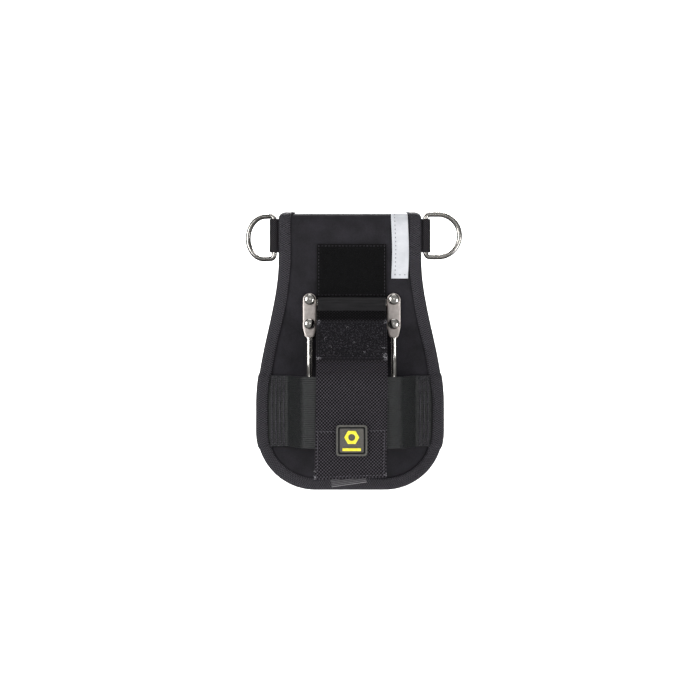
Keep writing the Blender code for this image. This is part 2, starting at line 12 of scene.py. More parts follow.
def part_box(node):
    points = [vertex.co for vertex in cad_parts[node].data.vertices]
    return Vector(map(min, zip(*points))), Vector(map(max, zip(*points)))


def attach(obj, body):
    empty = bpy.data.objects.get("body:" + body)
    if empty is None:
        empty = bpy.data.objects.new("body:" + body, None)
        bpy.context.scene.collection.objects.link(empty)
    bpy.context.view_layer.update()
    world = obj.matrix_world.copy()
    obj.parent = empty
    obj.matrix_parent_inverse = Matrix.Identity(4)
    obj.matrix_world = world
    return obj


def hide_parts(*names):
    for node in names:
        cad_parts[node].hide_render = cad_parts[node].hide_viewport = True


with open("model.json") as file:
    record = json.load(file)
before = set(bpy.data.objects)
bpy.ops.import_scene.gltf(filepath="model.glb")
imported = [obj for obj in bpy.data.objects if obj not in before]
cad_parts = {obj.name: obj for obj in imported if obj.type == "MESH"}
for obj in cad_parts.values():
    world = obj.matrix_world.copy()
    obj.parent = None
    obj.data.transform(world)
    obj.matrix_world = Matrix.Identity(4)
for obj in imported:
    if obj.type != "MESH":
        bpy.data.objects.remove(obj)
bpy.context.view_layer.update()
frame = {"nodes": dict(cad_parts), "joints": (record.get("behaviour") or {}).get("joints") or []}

MM = 0.001
QUARTER = math.pi / 2
random.seed(7)

# ---- places, read from the frame ----

AXES = {joint["name"]: Vector(joint["pos_m"]) for joint in frame["joints"]}
HINGE = AXES["flap_lift"]
MIDDLE = HINGE.x  # the hardware's own centre line
PANEL_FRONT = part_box("front_cover")[0].y
PANEL_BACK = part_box("rear_cover")[1].y
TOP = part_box("belt_loop")[1].z
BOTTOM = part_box("edge_binding")[0].z
WIDE_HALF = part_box("edge_binding")[1].x
FOLD = -PANEL_FRONT / 2  # outer radius of the fold at the top
FOLD_Z = TOP - FOLD
LOOP_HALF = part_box("belt_loop")[1].x
BAND_LOW, BAND_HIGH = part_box("elastic_band")
FLAP_LOW, FLAP_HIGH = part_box("trap_flap")

# ---- driving dimensions that the boxes don't give ----

TOP_HALF = 51.1 * MM
FLARE_START = 12 * MM
FLARE_END = -92 * MM
CORNER = 41.8 * MM
SHOULDER = 3 * MM
SHEET = 1.6 * MM
TAPE = 0.8 * MM
TAPE_WIDTH = 8.6 * MM
PATCH = 1.1 * MM
RIM = 1.3 * MM  # from a patch's edge to its stitches
CLOSURE_PATCH = 0.9 * MM
RING_WIRE = 1.85 * MM
RING_HALF = 15.3 * MM
RING_REACH = 24.3 * MM
RING_CORNER = 3 * MM
LEFT_SWING = math.radians(-36)
TAB_FOLD = 2.85 * MM
ROD = 2.3 * MM
ROD_FORWARD = 2.9 * MM
ROD_HALF_SPAN = 30 * MM
CRADLE_FORWARD = 29 * MM
CRADLE_BEND = -66 * MM
CRADLE_FRONT = -100 * MM
PLATE_FORWARD = 1.9 * MM
PLATE_HALF = 4.9 * MM
PLATE_DEEP = 1.35 * MM
PLATE_TOP = -12.9 * MM
NECK_TOP = -36.2 * MM
NECK_END = -44 * MM
NECK_HALF = 3.5 * MM
BAND_THICK = 1.4 * MM
BAND_FOOT = 45.5 * MM
BAND_SWELL = 1.5 * MM
FLAP_LAYER = 1.15 * MM
FLAP_DOUBLE = 2.4 * MM
FLAP_BEND = -72 * MM
FLAP_WRAP = 2.85 * MM
HEM = 35 * MM


def span(node):
    """A node's lowest corner, its highest corner and its centre."""
    low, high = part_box(node)
    return low, high, (low + high) / 2


def forward(distance):
    """The Y that lies this far in front of the panel's front face."""
    return PANEL_FRONT - distance


def placed(piece, body, slot=None, *nodes):
    """The piece set to ride on its body, with the frame's nodes that it stands for hidden; its slot
    is not used.
    """
    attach(piece, body)
    if nodes:
        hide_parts(*nodes)
    return piece


# ---- paths and meshes ----

def arc(cx, cy, radius, start, end, steps):
    angles = (start + (end - start) * i / steps for i in range(steps + 1))
    return [(cx + radius * math.cos(a), cy + radius * math.sin(a)) for a in angles]


def run(start, end, steps):
    """Evenly spaced points on a straight line, both ends among them."""
    return [Vector(start).lerp(Vector(end), i / steps) for i in range(steps + 1)]


def ease(t):
    t = min(max(t, 0.0), 1.0)
    return t * t * (3 - 2 * t)


def filleted(corners, radii, steps=12):
    """A path through corners, each inner one rounded by its radius."""
    corners = [Vector(c) for c in corners]
    path = [corners[0]]
    for corner, before, after, radius in zip(corners[1:-1], corners, corners[2:], radii):
        back = (before - corner).normalized()
        on = (after - corner).normalized()
        half = back.angle(on) / 2
        centre = corner + (back + on).normalized() * (radius / math.sin(half))
        first = corner + back * (radius / math.tan(half)) - centre
        last = corner + on * (radius / math.tan(half)) - centre
        turn = first.angle(last)
        for i in range(steps + 1):
            t = i / steps
            mix = first * math.sin((1 - t) * turn) + last * math.sin(t * turn)
            path.append(centre + mix / math.sin(turn))
    path.append(corners[-1])
    return path


def lengths_of(path):
    """How far along the path each of its points lies."""
    lengths = [0.0]
    for a, b in zip(path, path[1:]):
        lengths.append(lengths[-1] + (b - a).length)
    return lengths


def even(path, step):
    """The same path with points a fixed step apart."""
    path = [Vector(p) for p in path]
    lengths = lengths_of(path)
    count = max(2, round(lengths[-1] / step))
    points, i = [], 0
    for k in range(count + 1):
        want = lengths[-1] * k / count
        while i < len(path) - 2 and lengths[i + 1] < want:
            i += 1
        share = (want - lengths[i]) / max(lengths[i + 1] - lengths[i], 1e-9)
        points.append(path[i].lerp(path[i + 1], min(max(share, 0), 1)))
    return points


def linked(name, data):
    obj = bpy.data.objects.new(name, data)
    bpy.context.scene.collection.objects.link(obj)
    return obj


def make(name, verts, faces, material, along=None, flat=False):
    """A mesh object with outward faces; along holds each point's place on its cloth, in metres."""
    mesh = bpy.data.meshes.new(name)
    mesh.from_pydata([tuple(v) for v in verts], [], faces)
    if along:
        layer = mesh.attributes.new("along", "FLOAT_VECTOR", "POINT")
        layer.data.foreach_set("vector", [c for a in along for c in (*a, 0.0)])
    work = bmesh.new()
    work.from_mesh(mesh)
    bmesh.ops.recalc_face_normals(work, faces=work.faces)
    work.to_mesh(mesh)
    work.free()
    if not flat:
        mesh.shade_smooth()
    mesh.materials.append(material)
    return linked(name, mesh)


def finished(obj):
    """The object as a plain mesh, its modifiers worked in."""
    bpy.context.view_layer.update()
    source = obj.evaluated_get(bpy.context.evaluated_depsgraph_get())
    mesh = bpy.data.meshes.new_from_object(source)
    name = obj.name
    bpy.data.objects.remove(obj)
    mesh.name = name
    return linked(name, mesh)


def bevelled(obj, width):
    edge = obj.modifiers.new("edge", "BEVEL")
    edge.width = width
    edge.segments = 3
    edge.limit_method = "ANGLE"
    edge.angle_limit = math.radians(40)
    return finished(obj)


def ringed(rings, closed=False):
    """Faces between rings of points, the ends filled in if the run is open."""
    n, count = len(rings[0]), len(rings)
    faces = []
    for i in range(count if closed else count - 1):
        a, b = i * n, (i + 1) % count * n
        for k in range(n):
            m = (k + 1) % n
            faces.append((a + k, a + m, b + m, b + k))
    if not closed:
        faces.append(tuple(range(n))[::-1])
        faces.append(tuple(range((count - 1) * n, count * n)))
    return faces


def frames(path, closed=False):
    """Each point with two side directions that never twist."""
    n = len(path)
    found, side = [], None
    for i, point in enumerate(path):
        before = path[i - 1] if i or closed else path[0]
        after = path[(i + 1) % n] if i + 1 < n or closed else path[-1]
        tangent = (after - before).normalized()
        if side is None:
            side = tangent.orthogonal().normalized()
        side = (side - tangent * side.dot(tangent)).normalized()
        found.append((point, side, tangent.cross(side)))
    return found


def wire(name, path, radius, material, closed=False):
    """A round rod or wire along a path."""
    sides, rings = 24, []
    turns = [2 * math.pi * k / sides for k in range(sides)]
    for point, a, b in frames(path, closed):
        rings.append([point + (a * math.cos(t) + b * math.sin(t)) * radius for t in turns])
    if closed:
        # each ring turns on a little, so that the last one meets the first
        shift = min(range(sides), key=lambda k: (rings[-1][k] - rings[0][0]).length)
        shift = shift if shift <= sides / 2 else shift - sides
        for i, ring in enumerate(rings):
            k = round(shift * i / (len(rings) - 1)) % sides
            rings[i] = ring[k:] + ring[:k]
    return make(name, [v for ring in rings for v in ring], ringed(rings, closed), material)


class Strap:
    """A flat strap that follows a path, with its width along one fixed direction."""

    def __init__(self, path, across, half, step=1.2 * MM):
        self.path = even(path, step)
        self.across = Vector(across)
        self.half = half
        self.lengths = lengths_of(self.path)
        self.length = self.lengths[-1]
        self.normals = []
        for i in range(len(self.path)):
            before = self.path[max(i - 1, 0)]
            after = self.path[min(i + 1, len(self.path) - 1)]
            self.normals.append((after - before).normalized().cross(self.across).normalized())

    def at(self, s, u, lift):
        """The point this far along, this far across and this far off the middle plane."""
        i = 0
        while i < len(self.path) - 2 and self.lengths[i + 1] < s:
            i += 1
        share = (s - self.lengths[i]) / (self.lengths[i + 1] - self.lengths[i])
        share = min(max(share, 0), 1)
        place = self.path[i].lerp(self.path[i + 1], share)
        normal = self.normals[i].lerp(self.normals[i + 1], share)
        return place + self.across * u + normal * lift

    def line(self, start, end, lift, steps):
        """A straight row of points between two places, each given as along and across."""
        (s, u), (far_s, far_u) = start, end
        shares = [k / steps for k in range(steps + 1)]
        return [self.at(s + (far_s - s) * t, u + (far_u - u) * t, lift) for t in shares]

    def border(self, inset, lift):
        """Four rows of points in a rectangle, this far in from the strap's ends."""
        s, u = self.length - inset, self.half - RIM
        corners = [(inset, -u), (inset, u), (s, u), (s, -u), (inset, -u)]
        sides = list(zip(corners, corners[1:]))
        counts = [round(math.dist(a, b) / (1.5 * MM)) for a, b in sides]
        return [self.line(a, b, lift, count) for (a, b), count in zip(sides, counts)]

    def solid(self, name, thick, material, columns=12, relief=None, narrow=None):
        """Rounded edges; relief adds height to both faces, and narrow changes the half width."""
        r = thick / 2
        verts, along, rings = [], [], []
        rounding = arc(0, 0, r, math.pi / 3, -math.pi / 3, 2)
        for s, place, normal in zip(self.lengths, self.path, self.normals):
            flat = self.half - (narrow(s) if narrow else 0) - r
            row = [(-flat + 2 * flat * k / columns) for k in range(columns + 1)]
            face = [(u, r + (relief(s, u) if relief else 0)) for u in row]
            ring = face + [(flat + x, y) for x, y in rounding]
            ring += [(u, -h) for u, h in face[::-1]]
            ring += [(-flat - x, -y) for x, y in rounding]
            rings.append([place + self.across * u + normal * h for u, h in ring])
            verts += rings[-1]
            along += [(s, u) for u, _ in ring]
        return make(name, verts, ringed(rings), material, along)


def rippled(height, along, across, start=0.0):
    """Shallow waves for a strap's relief: their height and their two sizes in millimetres."""

    def relief(s, u):
        return height * MM * math.sin(s / (along * MM) + start) * math.cos(u / (across * MM))

    return relief


# ---- materials ----

MATH = "ShaderNodeMath"
NOISE = "ShaderNodeTexNoise"


def linear(code):
    """An sRGB hex code as linear values."""
    parts = [int(code[i:i + 2], 16) / 255 for i in (1, 3, 5)]
    return [p / 12.92 if p <= 0.04045 else ((p + 0.055) / 1.055) ** 2.4 for p in parts] + [1]


def add(tree, kind, inputs=None, out=0, into=None, **settings):
    """A node with its settings and links: gives one output, linked on into a socket if asked."""
    node = tree.nodes.new(kind)
    for key, value in settings.items():
        setattr(node, key, value)
    for key, value in (inputs or {}).items():
        if isinstance(value, bpy.types.NodeSocket):
            tree.links.new(value, node.inputs[key])
        else:
            node.inputs[key].default_value = value
    made = node.outputs[out] if node.outputs else None
    if into:
        tree.links.new(made, into)
    return made


def blank(name, roughness, **constants):
    """A material with only its shader, whose constant sockets are set."""
    material = bpy.data.materials.new(name)
    material.use_nodes = True
    sockets = material.node_tree.nodes["Principled BSDF"].inputs
    sockets["Roughness"].default_value = roughness
    for key, value in constants.items():
        sockets[key.replace("_", " ")].default_value = value
    return material, material.node_tree, sockets


def place_on(tree, on_cloth=True):
    """A place on the piece, and its metres along and across the cloth, or its Z and X."""
    if on_cloth:
        spot = add(tree, "ShaderNodeAttribute", out="Vector", attribute_name="along")
    else:
        spot = add(tree, "ShaderNodeTexCoord", out="Object")
    parts = add(tree, "ShaderNodeSeparateXYZ", {0: spot}).node.outputs
    return (spot, parts[0], parts[1]) if on_cloth else (spot, parts[2], parts[0])


def wave(tree, place, period):
    """Ribs of this period in metres, from -1 in the furrows to 1 on the crowns."""
    turns = add(tree, MATH, {0: place, 1: 2 * math.pi / period}, operation="MULTIPLY")
    return add(tree, MATH, {0: turns}, operation="SINE")


def layered(tree, level, *patterns):
    """Patterns added to a level, each by its weight."""
    for pattern, weight in patterns:
        level = add(tree, MATH, {0: pattern, 1: weight, 2: level}, operation="MULTIPLY_ADD")
    return level


def dressed(tree, sockets, tone, colours, reach, height, depth, strength):
    """The shader coloured from dark to light as the tone crosses its reach, and its relief."""
    share = add(tree, "ShaderNodeMapRange", {0: tone, 1: reach[0], 2: reach[1]})
    ends = {0: share, 6: linear(colours[0]), 7: linear(colours[1])}
    add(tree, "ShaderNodeMix", ends, 2, sockets["Base Color"], data_type="RGBA")
    relief = {"Height": height, "Distance": depth, "Strength": strength}
    add(tree, "ShaderNodeBump", relief, into=sockets["Normal"])


def oxford_nylon(name, on_cloth):
    """Coated oxford nylon: a fine square weave, dull, with a faint cool sheen as it turns away."""
    material, tree, sockets = blank(
        name, 0.72, Sheen_Weight=0.03, Sheen_Roughness=0.5, Specular_IOR_Level=0.22
    )
    spot, s, u = place_on(tree, on_cloth)
    thread = 0.9 * MM  # the real thread is 0.5 mm, drawn coarser so that it shows
    crossed = {0: wave(tree, s, thread), 1: wave(tree, u, thread)}
    weave = add(tree, MATH, crossed, operation="MULTIPLY")
    grain = add(tree, NOISE, {"Vector": spot, "Scale": 1 / (0.6 * MM), "Detail": 2})
    wear = add(tree, NOISE, {"Vector": spot, "Scale": 1 / (14 * MM), "Detail": 3})
    height = layered(tree, 0, (weave, 0.35), (grain, 1))
    tone = layered(tree, 0, (height, 0.35), (wear, 0.6))
    colours = "#121114", "#2b292f"
    dressed(tree, sockets, tone, colours, (0.25, 0.75), height, 0.12 * MM, 0.6)
    return material


def heavy_webbing(name, colours, pick, shaded_length=0.0):
    """Heavy nylon webbing: a plain weave of fat yarns, dark where they dive, bright on their backs.

    For the first stretch of its length, given as the last argument, the colour is painted darker:
    painted shade where the webbing runs from its tail over the crossbar and recedes under the
    sleeve.
    """
    material, tree, sockets = blank(
        name, 0.55, Sheen_Weight=0.01, Sheen_Roughness=0.4, Specular_IOR_Level=0.08
    )
    spot, s, u = place_on(tree)
    drift = add(tree, NOISE, {"Vector": spot, "Scale": 1 / (9 * MM), "Detail": 1})
    warp, weft = (wave(tree, layered(tree, way, (drift, 0.5 * MM)), 2 * pick) for way in (s, u))
    weave = add(tree, MATH, {0: warp, 1: weft}, operation="MULTIPLY")
    height = layered(tree, 0.5, (weave, 0.5))
    strands = add(tree, NOISE, {"Vector": spot, "Scale": 1 / (0.45 * MM), "Detail": 2})
    tone = layered(tree, 0, (height, 0.8), (strands, 0.3))
    # painted shade: up to the given length the webbing's colour is darkened, where it recedes under
    # the crossbar sleeve
    if shaded_length:
        painted_shade_factor = add(tree, "ShaderNodeMapRange", {0: s, 1: shaded_length, 2: shaded_length + 3 * MM, 3: 0.62})
        tone = add(tree, MATH, {0: tone, 1: painted_shade_factor}, operation="MULTIPLY")
    dressed(tree, sockets, tone, colours, (0.42, 0.86), height, 0.4 * MM, 0.9)
    return material


def sleeve_tape():
    """Satin-woven tape drawn taut over the bar: long floats give it a smooth soft shine."""
    material, tree, sockets = blank(
        "satin_sleeve_tape", 0.5, Sheen_Weight=0.03, Sheen_Roughness=0.4, Specular_IOR_Level=0.2
    )
    stretched = add(tree, "ShaderNodeMapping", {"Vector": place_on(tree)[0], "Scale": (900, 60, 1)})
    floats = add(tree, NOISE, {"Vector": stretched, "Scale": 1, "Detail": 3})
    dressed(tree, sockets, floats, ("#121213", "#201f21"), (0.3, 0.7), floats, 0.08 * MM, 0.5)
    return material


def binding_tape():
    """Grosgrain binding: fine ribs across the tape in a herringbone, paler on their crowns."""
    material, tree, sockets = blank(
        "grosgrain_binding", 0.62, Sheen_Weight=0.04, Sheen_Roughness=0.4, Specular_IOR_Level=0.28
    )
    spot, s, u = place_on(tree)
    column = add(tree, MATH, {0: wave(tree, u, 2.6 * MM)}, operation="SIGN")
    ribs = wave(tree, layered(tree, s, (column, 0.4 * MM)), 1.6 * MM)
    fuzz = add(tree, NOISE, {"Vector": spot, "Scale": 1 / (1.1 * MM), "Detail": 2})
    tone = layered(tree, 0.275, (ribs, 0.275), (fuzz, 0.55))
    dressed(tree, sockets, tone, ("#040306", "#413f45"), (0.3, 0.85), tone, 0.22 * MM, 0.8)
    return material


def ribbed_elastic(cord):
    """Woven elastic: rubber cords make its ribs, and taut thin yarn a soft green-black sheen."""
    material, tree, sockets = blank(
        "ribbed_elastic", 0.4, Sheen_Weight=0.02, Sheen_Roughness=0.35, Specular_IOR_Level=0.5
    )
    _, s, u = place_on(tree)
    yarn = add(tree, MATH, {0: wave(tree, s, 1.4 * MM)}, operation="ABSOLUTE")
    tone = layered(tree, 0.35, (wave(tree, u, cord), 0.35), (yarn, 0.3))
    dressed(tree, sockets, tone, ("#090a0a", "#2b2d2e"), (0.1, 1), yarn, 0.12 * MM, 0.7)
    return material


def fibre(name, dark, light, size, roughness=0.9):
    """Nylon pile, brushed cloth or thread: uneven, with a few paler fibres."""
    material, tree, sockets = blank(name, roughness, Sheen_Weight=0.03, Specular_IOR_Level=0.2)
    spot = place_on(tree, False)[0]
    tone = add(tree, NOISE, {"Vector": spot, "Scale": 1 / size, "Detail": 2})
    dressed(tree, sockets, tone, (dark, light), (0.3, 0.75), tone, 0.15 * MM, 0.6)
    return material


def woven_label(fold):
    """Grey woven polyester: fine crosswise picks, worn paler along the fold at its free end."""
    material, tree, sockets = blank("woven_grey_label", 0.7, Specular_IOR_Level=0.3)
    spot, s, _ = place_on(tree)
    away = add(tree, MATH, {0: layered(tree, -fold, (s, 1))}, operation="ABSOLUTE")
    worn = add(tree, "ShaderNodeMapRange", {0: away, 1: 0, 2: 1.1 * MM, 3: 1, 4: 0})
    mottle = add(tree, NOISE, {"Vector": spot, "Scale": 1 / (2 * MM), "Detail": 3})
    tone = layered(tree, worn, (wave(tree, s, 1.1 * MM), 0.2), (mottle, 0.3))
    dressed(tree, sockets, tone, ("#2c2a2e", "#a3a1a4"), (0.1, 1), tone, 0.1 * MM, 0.5)
    return material


def reflective_tape():
    """Glass-bead reflective tape: even silver grey with a fine sparkle."""
    material, tree, sockets = blank("glass_bead_tape", 0.42, Metallic=0.15, Specular_IOR_Level=0.6)
    spot = place_on(tree, False)[0]
    beads = add(tree, "ShaderNodeTexVoronoi", {"Vector": spot, "Scale": 1 / (0.5 * MM)})
    creases = add(tree, NOISE, {"Vector": spot, "Scale": 1 / (7 * MM), "Detail": 3})
    tone = layered(tree, creases, (beads, 0.25))
    dressed(tree, sockets, tone, ("#bfc1c6", "#dcdee2"), (0.2, 1), tone, 0.05 * MM, 0.4)
    return material


def plated_steel(name, roughness, dark, light, scratches=0.0):
    """Nickel-plated or bare steel: bright, with faint handling marks in its gloss."""
    material, tree, sockets = blank(name, roughness, Metallic=1)
    spot = place_on(tree, False)[0]
    marks = add(tree, NOISE, {"Vector": spot, "Scale": 1 / (3 * MM), "Detail": 4})
    dulled = {0: marks, 1: 0.12, 2: roughness - 0.05}
    add(tree, MATH, dulled, into=sockets["Roughness"], operation="MULTIPLY_ADD")
    drawn = add(tree, "ShaderNodeMapping", {"Vector": spot, "Scale": (6000, 6000, 250)})
    lines = add(tree, NOISE, {"Vector": drawn, "Scale": 1, "Detail": 3})
    dressed(tree, sockets, marks, (dark, light), (0.3, 0.7), lines, 0.01 * MM, scratches)
    return material


def moulded(name, dark, light, roughness):
    """Moulded rubber or board: smooth, faintly mottled, with a broad soft highlight."""
    material, tree, sockets = blank(name, roughness, Specular_IOR_Level=0.4)
    spot = place_on(tree, False)[0]
    mottle = add(tree, NOISE, {"Vector": spot, "Scale": 1 / (1.2 * MM), "Detail": 4})
    dressed(tree, sockets, mottle, (dark, light), (0.3, 0.7), mottle, 0.04 * MM, 0.4)
    return material


CORD = 1.3 * MM  # spacing of the rubber cords in the elastic
LABEL_FOLD = 12.2 * MM  # how far along the label its fold lies

OXFORD = oxford_nylon("coated_oxford_nylon_object", False)
OXFORD_FOLDED = oxford_nylon("coated_oxford_nylon_cloth", True)
# the flap webbing's first 48 mm, from its tail over the crossbar and down past the sleeve, get
# painted shade
WEBBING = heavy_webbing("plain_weave_webbing", ("#000000", "#47444a"), 1.15 * MM, 48 * MM)
TAB_WEBBING = heavy_webbing("tab_webbing", ("#1a191b", "#353336"), 0.7 * MM)
SLEEVE_TAPE = sleeve_tape()
BINDING = binding_tape()
ELASTIC = ribbed_elastic(CORD)
LOOP_BASE = fibre("brushed_loop_tape", "#040405", "#0b0b0c", 0.9 * MM)
LOOP_PILE = fibre("nylon_loops", "#050506", "#19191c", 1.6 * MM)
HOOK_BASE = fibre("moulded_hook_tape", "#0a090c", "#1c1b1f", 0.8 * MM)
HOOK_PILE = fibre("nylon_hooks", "#121115", "#5a585f", 1.3 * MM, 0.45)
THREAD = fibre("bonded_black_thread", "#1b191e", "#3a383e", 1.2 * MM, 0.45)
HEM_THREAD = fibre("waxed_charcoal_thread", "#38363b", "#5d5a61", 1.2 * MM, 0.45)
BAND_THREAD = fibre("waxed_dark_thread", "#2c2a2f", "#4b484f", 1.2 * MM, 0.45)
GREY_THREAD = fibre("grey_polyester_thread", "#6b6f74", "#8b8f94", 1.2 * MM, 0.6)
LINT = fibre("pale_loose_fibre", "#77757b", "#b5b3b8", 1.0 * MM, 0.8)
REFLECTIVE = reflective_tape()
POLISHED = plated_steel("polished_nickel", 0.17, "#c9c6c1", "#e6e3de")
RING_NICKEL = plated_steel("barrel_plated_nickel", 0.24, "#a9a6a2", "#c6c3be")
SATIN = plated_steel("tumbled_nickel_plate", 0.5, "#d0c7c2", "#e6deda", 0.25)
PLAIN_STEEL = plated_steel("plain_sheet_steel", 0.4, "#8d8d8c", "#a5a5a4", 0.5)
BADGE_BLACK = moulded("black_rubber", "#0b0b0c", "#131314", 0.5)
BADGE_GREY = moulded("charcoal_rubber", "#4d4b48", "#5a5854", 0.55)
BADGE_RIM = moulded("grey_rubber_rim", "#4c4b48", "#5a5955", 0.5)
BADGE_YELLOW = moulded("yellow_rubber", "#e6d72c", "#f6ec56", 0.45)
LABEL_CLOTH = woven_label(LABEL_FOLD)
FOAM = fibre("closed_cell_foam", "#2b2b2d", "#3b3b3e", 0.9 * MM)
BOARD = moulded("polyethylene_board", "#131314", "#1d1d1f", 0.45)


# ---- Geometry Nodes: stitches and pile ----

def node_tree(name, sizes):
    """A Geometry Nodes tree with one geometry in, one out, and named sizes."""
    tree = bpy.data.node_groups.new(name, "GeometryNodeTree")
    tree.interface.new_socket("Geometry", in_out="INPUT", socket_type="NodeSocketGeometry")
    for key, value in sizes.items():
        kind = "NodeSocketInt" if isinstance(value, int) else "NodeSocketFloat"
        tree.interface.new_socket(key, in_out="INPUT", socket_type=kind).default_value = value
    tree.interface.new_socket("Geometry", in_out="OUTPUT", socket_type="NodeSocketGeometry")
    return tree, add(tree, "NodeGroupInput").node.outputs


def ended(tree, copies, material):
    """The tree, its copies made real, smooth and coated with a material."""
    real = add(tree, "GeometryNodeRealizeInstances", {0: copies})
    smooth = add(tree, "GeometryNodeSetShadeSmooth", {0: real})
    coated = add(tree, "GeometryNodeSetMaterial", {0: smooth, "Material": material})
    add(tree, "NodeGroupOutput", {0: coated})
    return tree


def seam_tree(material):
    """Stitches laid end to end along curves: a short fat bead of thread for each."""
    sizes = {"Pitch": 2.4 * MM, "Length": 1.7 * MM, "Thickness": 0.5 * MM}
    tree, given = node_tree("seam_" + material.name, sizes)
    row = {"Curve": given["Geometry"], "Length": given["Pitch"]}
    spots = add(tree, "GeometryNodeResampleCurve", row, mode="LENGTH")
    bead = add(tree, "GeometryNodeMeshUVSphere", {"Segments": 6, "Rings": 5, "Radius": 0.5})
    thick = given["Thickness"]
    size = add(tree, "ShaderNodeCombineXYZ", {0: thick, 1: thick, 2: given["Length"]})
    tangent = add(tree, "GeometryNodeInputTangent")
    turn = add(tree, "FunctionNodeAlignRotationToVector", {"Vector": tangent}, axis="Z")
    laid = {"Points": spots, "Instance": bead, "Rotation": turn, "Scale": size}
    return ended(tree, add(tree, "GeometryNodeInstanceOnPoints", laid), material)


def pile_tree(material):
    """Bent fibres standing on a surface, each turned and sized at random."""
    sizes = {"Density": 1e6, "Height": 0.8 * MM, "Fibre": 0.1 * MM, "Bend": 3.6, "Seed": 3}
    tree, given = node_tree("pile_" + material.name, sizes)
    seed = given["Seed"]
    ground = {"Mesh": given["Geometry"], "Density": given["Density"], "Seed": seed}
    spots = add(tree, "GeometryNodeDistributePointsOnFaces", ground)
    bow = {"Resolution": 5, "Radius": given["Height"], "Start Angle": -0.3}
    bow = add(tree, "GeometryNodeCurveArc", {**bow, "Sweep Angle": given["Bend"]})
    upright = add(tree, "GeometryNodeTransform", {0: bow, "Rotation": (QUARTER, 0, 0)})
    round_wire = {"Resolution": 3, "Radius": given["Fibre"]}
    section = add(tree, "GeometryNodeCurvePrimitiveCircle", round_wire)
    strand = add(tree, "GeometryNodeCurveToMesh", {0: upright, 1: section, "Fill Caps": True})
    spin = {"Max": 6.283, "Seed": seed}
    spin = add(tree, "FunctionNodeRandomValue", spin, 1, data_type="FLOAT")
    about = add(tree, "FunctionNodeAxisAngleToRotation", {"Axis": (0, 0, 1), "Angle": spin})
    stood = {0: spots.node.outputs["Rotation"], 1: about}
    turn = add(tree, "FunctionNodeRotateRotation", stood, rotation_space="LOCAL")
    size = {"Min": 0.6, "Max": 1.25, "Seed": 11}
    size = add(tree, "FunctionNodeRandomValue", size, 1, data_type="FLOAT")
    laid = {"Points": spots, "Instance": strand, "Rotation": turn, "Scale": size}
    return ended(tree, add(tree, "GeometryNodeInstanceOnPoints", laid), material)


def grown(obj, tree, body, sizes):
    """What the tree grows on an object, as a plain mesh that rides on a body."""
    modifier = obj.modifiers.new(tree.name, "NODES")
    modifier.node_group = tree
    for item in tree.interface.items_tree:
        if item.in_out == "INPUT" and item.name in sizes:
            modifier[item.identifier] = sizes[item.name]
    return placed(finished(obj), body)


def lines_curve(name, lines):
    """A curve object with one straight-sided spline for each line of points."""
    data = bpy.data.curves.new(name, "CURVE")
    data.dimensions = "3D"
    for line in lines:
        spline = data.splines.new("POLY")
        spline.points.add(len(line) - 1)
        for point, place in zip(spline.points, line):
            point.co = (*place, 1)
    return linked(name, data)


def seams(name, body, lines, pitch, length, thick, thread=THREAD):
    """Rows of stitches along lines of points; sizes in millimetres."""
    tree = bpy.data.node_groups.get("seam_" + thread.name) or seam_tree(thread)
    sizes = {"Pitch": pitch * MM, "Length": length * MM, "Thickness": thick * MM}
    return grown(lines_curve(name, lines), tree, body, sizes)


def pile(name, body, corners, material, density, fibre_thick, bend, seed):
    """Fibres over a four-cornered field; density per square millimetre."""
    field = make(name, corners, [(0, 1, 2, 3)], material)
    if field.data.polygons[0].normal.y > 0:
        field.data.flip_normals()
    sizes = {"Density": density * 1e6, "Height": 0.42 * MM, "Fibre": fibre_thick * MM}
    return grown(field, pile_tree(material), body, {**sizes, "Bend": bend, "Seed": seed})


# ---- the padded panel ----

def half_width(z, inset=0.0):
    """Half the panel's width at this height."""
    if z >= BOTTOM + CORNER:
        share = ease((FLARE_START - z) / (FLARE_START - FLARE_END))
        return TOP_HALF + (WIDE_HALF - TOP_HALF) * share - inset
    drop = min(BOTTOM + CORNER - z, CORNER - inset)
    return WIDE_HALF - CORNER + math.sqrt(max((CORNER - inset) ** 2 - drop**2, 0))


def shoulder(z):
    """How far the top corners are rounded in at this height over the fold."""
    over = max(z - (TOP + TAPE - SHOULDER), 0)
    return SHOULDER - math.sqrt(max(SHOULDER**2 - over**2, 0))


def edge_path():
    """The panel's outline from the right side of the fold, round the bottom, to the left."""
    heights = (FOLD_Z + (BOTTOM + CORNER - FOLD_Z) * i / 60 for i in range(60))
    right = [(half_width(z), z) for z in heights]
    right += arc(WIDE_HALF - CORNER, BOTTOM + CORNER, CORNER, 0, -QUARTER, 40)
    whole = right + [(-x, z) for x, z in right[::-1]]
    return even([(x, 0, z) for x, z in whole], 1.2 * MM)


def sewn_down(x, z):
    """Whether the pad is held here by the binding's seam, the hardware, a patch or the band."""
    edge = 9.5 * MM
    off = abs(x - MIDDLE)
    patch_low, patch_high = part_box("loop_patch")
    return (
        half_width(z) - abs(x) < edge
        or z - BOTTOM < edge
        or z > FOLD_Z - 3 * MM
        or (off < 26 * MM and patch_low.z - 12 * MM < z < patch_high.z + 1 * MM)
        or (abs(off - ROD_HALF_SPAN) < 6.5 * MM and NECK_END - 30 * MM < z < PLATE_TOP + 2 * MM)
        or (abs(x) > BAND_FOOT - 3 * MM and BAND_LOW.z - 1 * MM < z < BAND_HIGH.z + 1 * MM)
    )


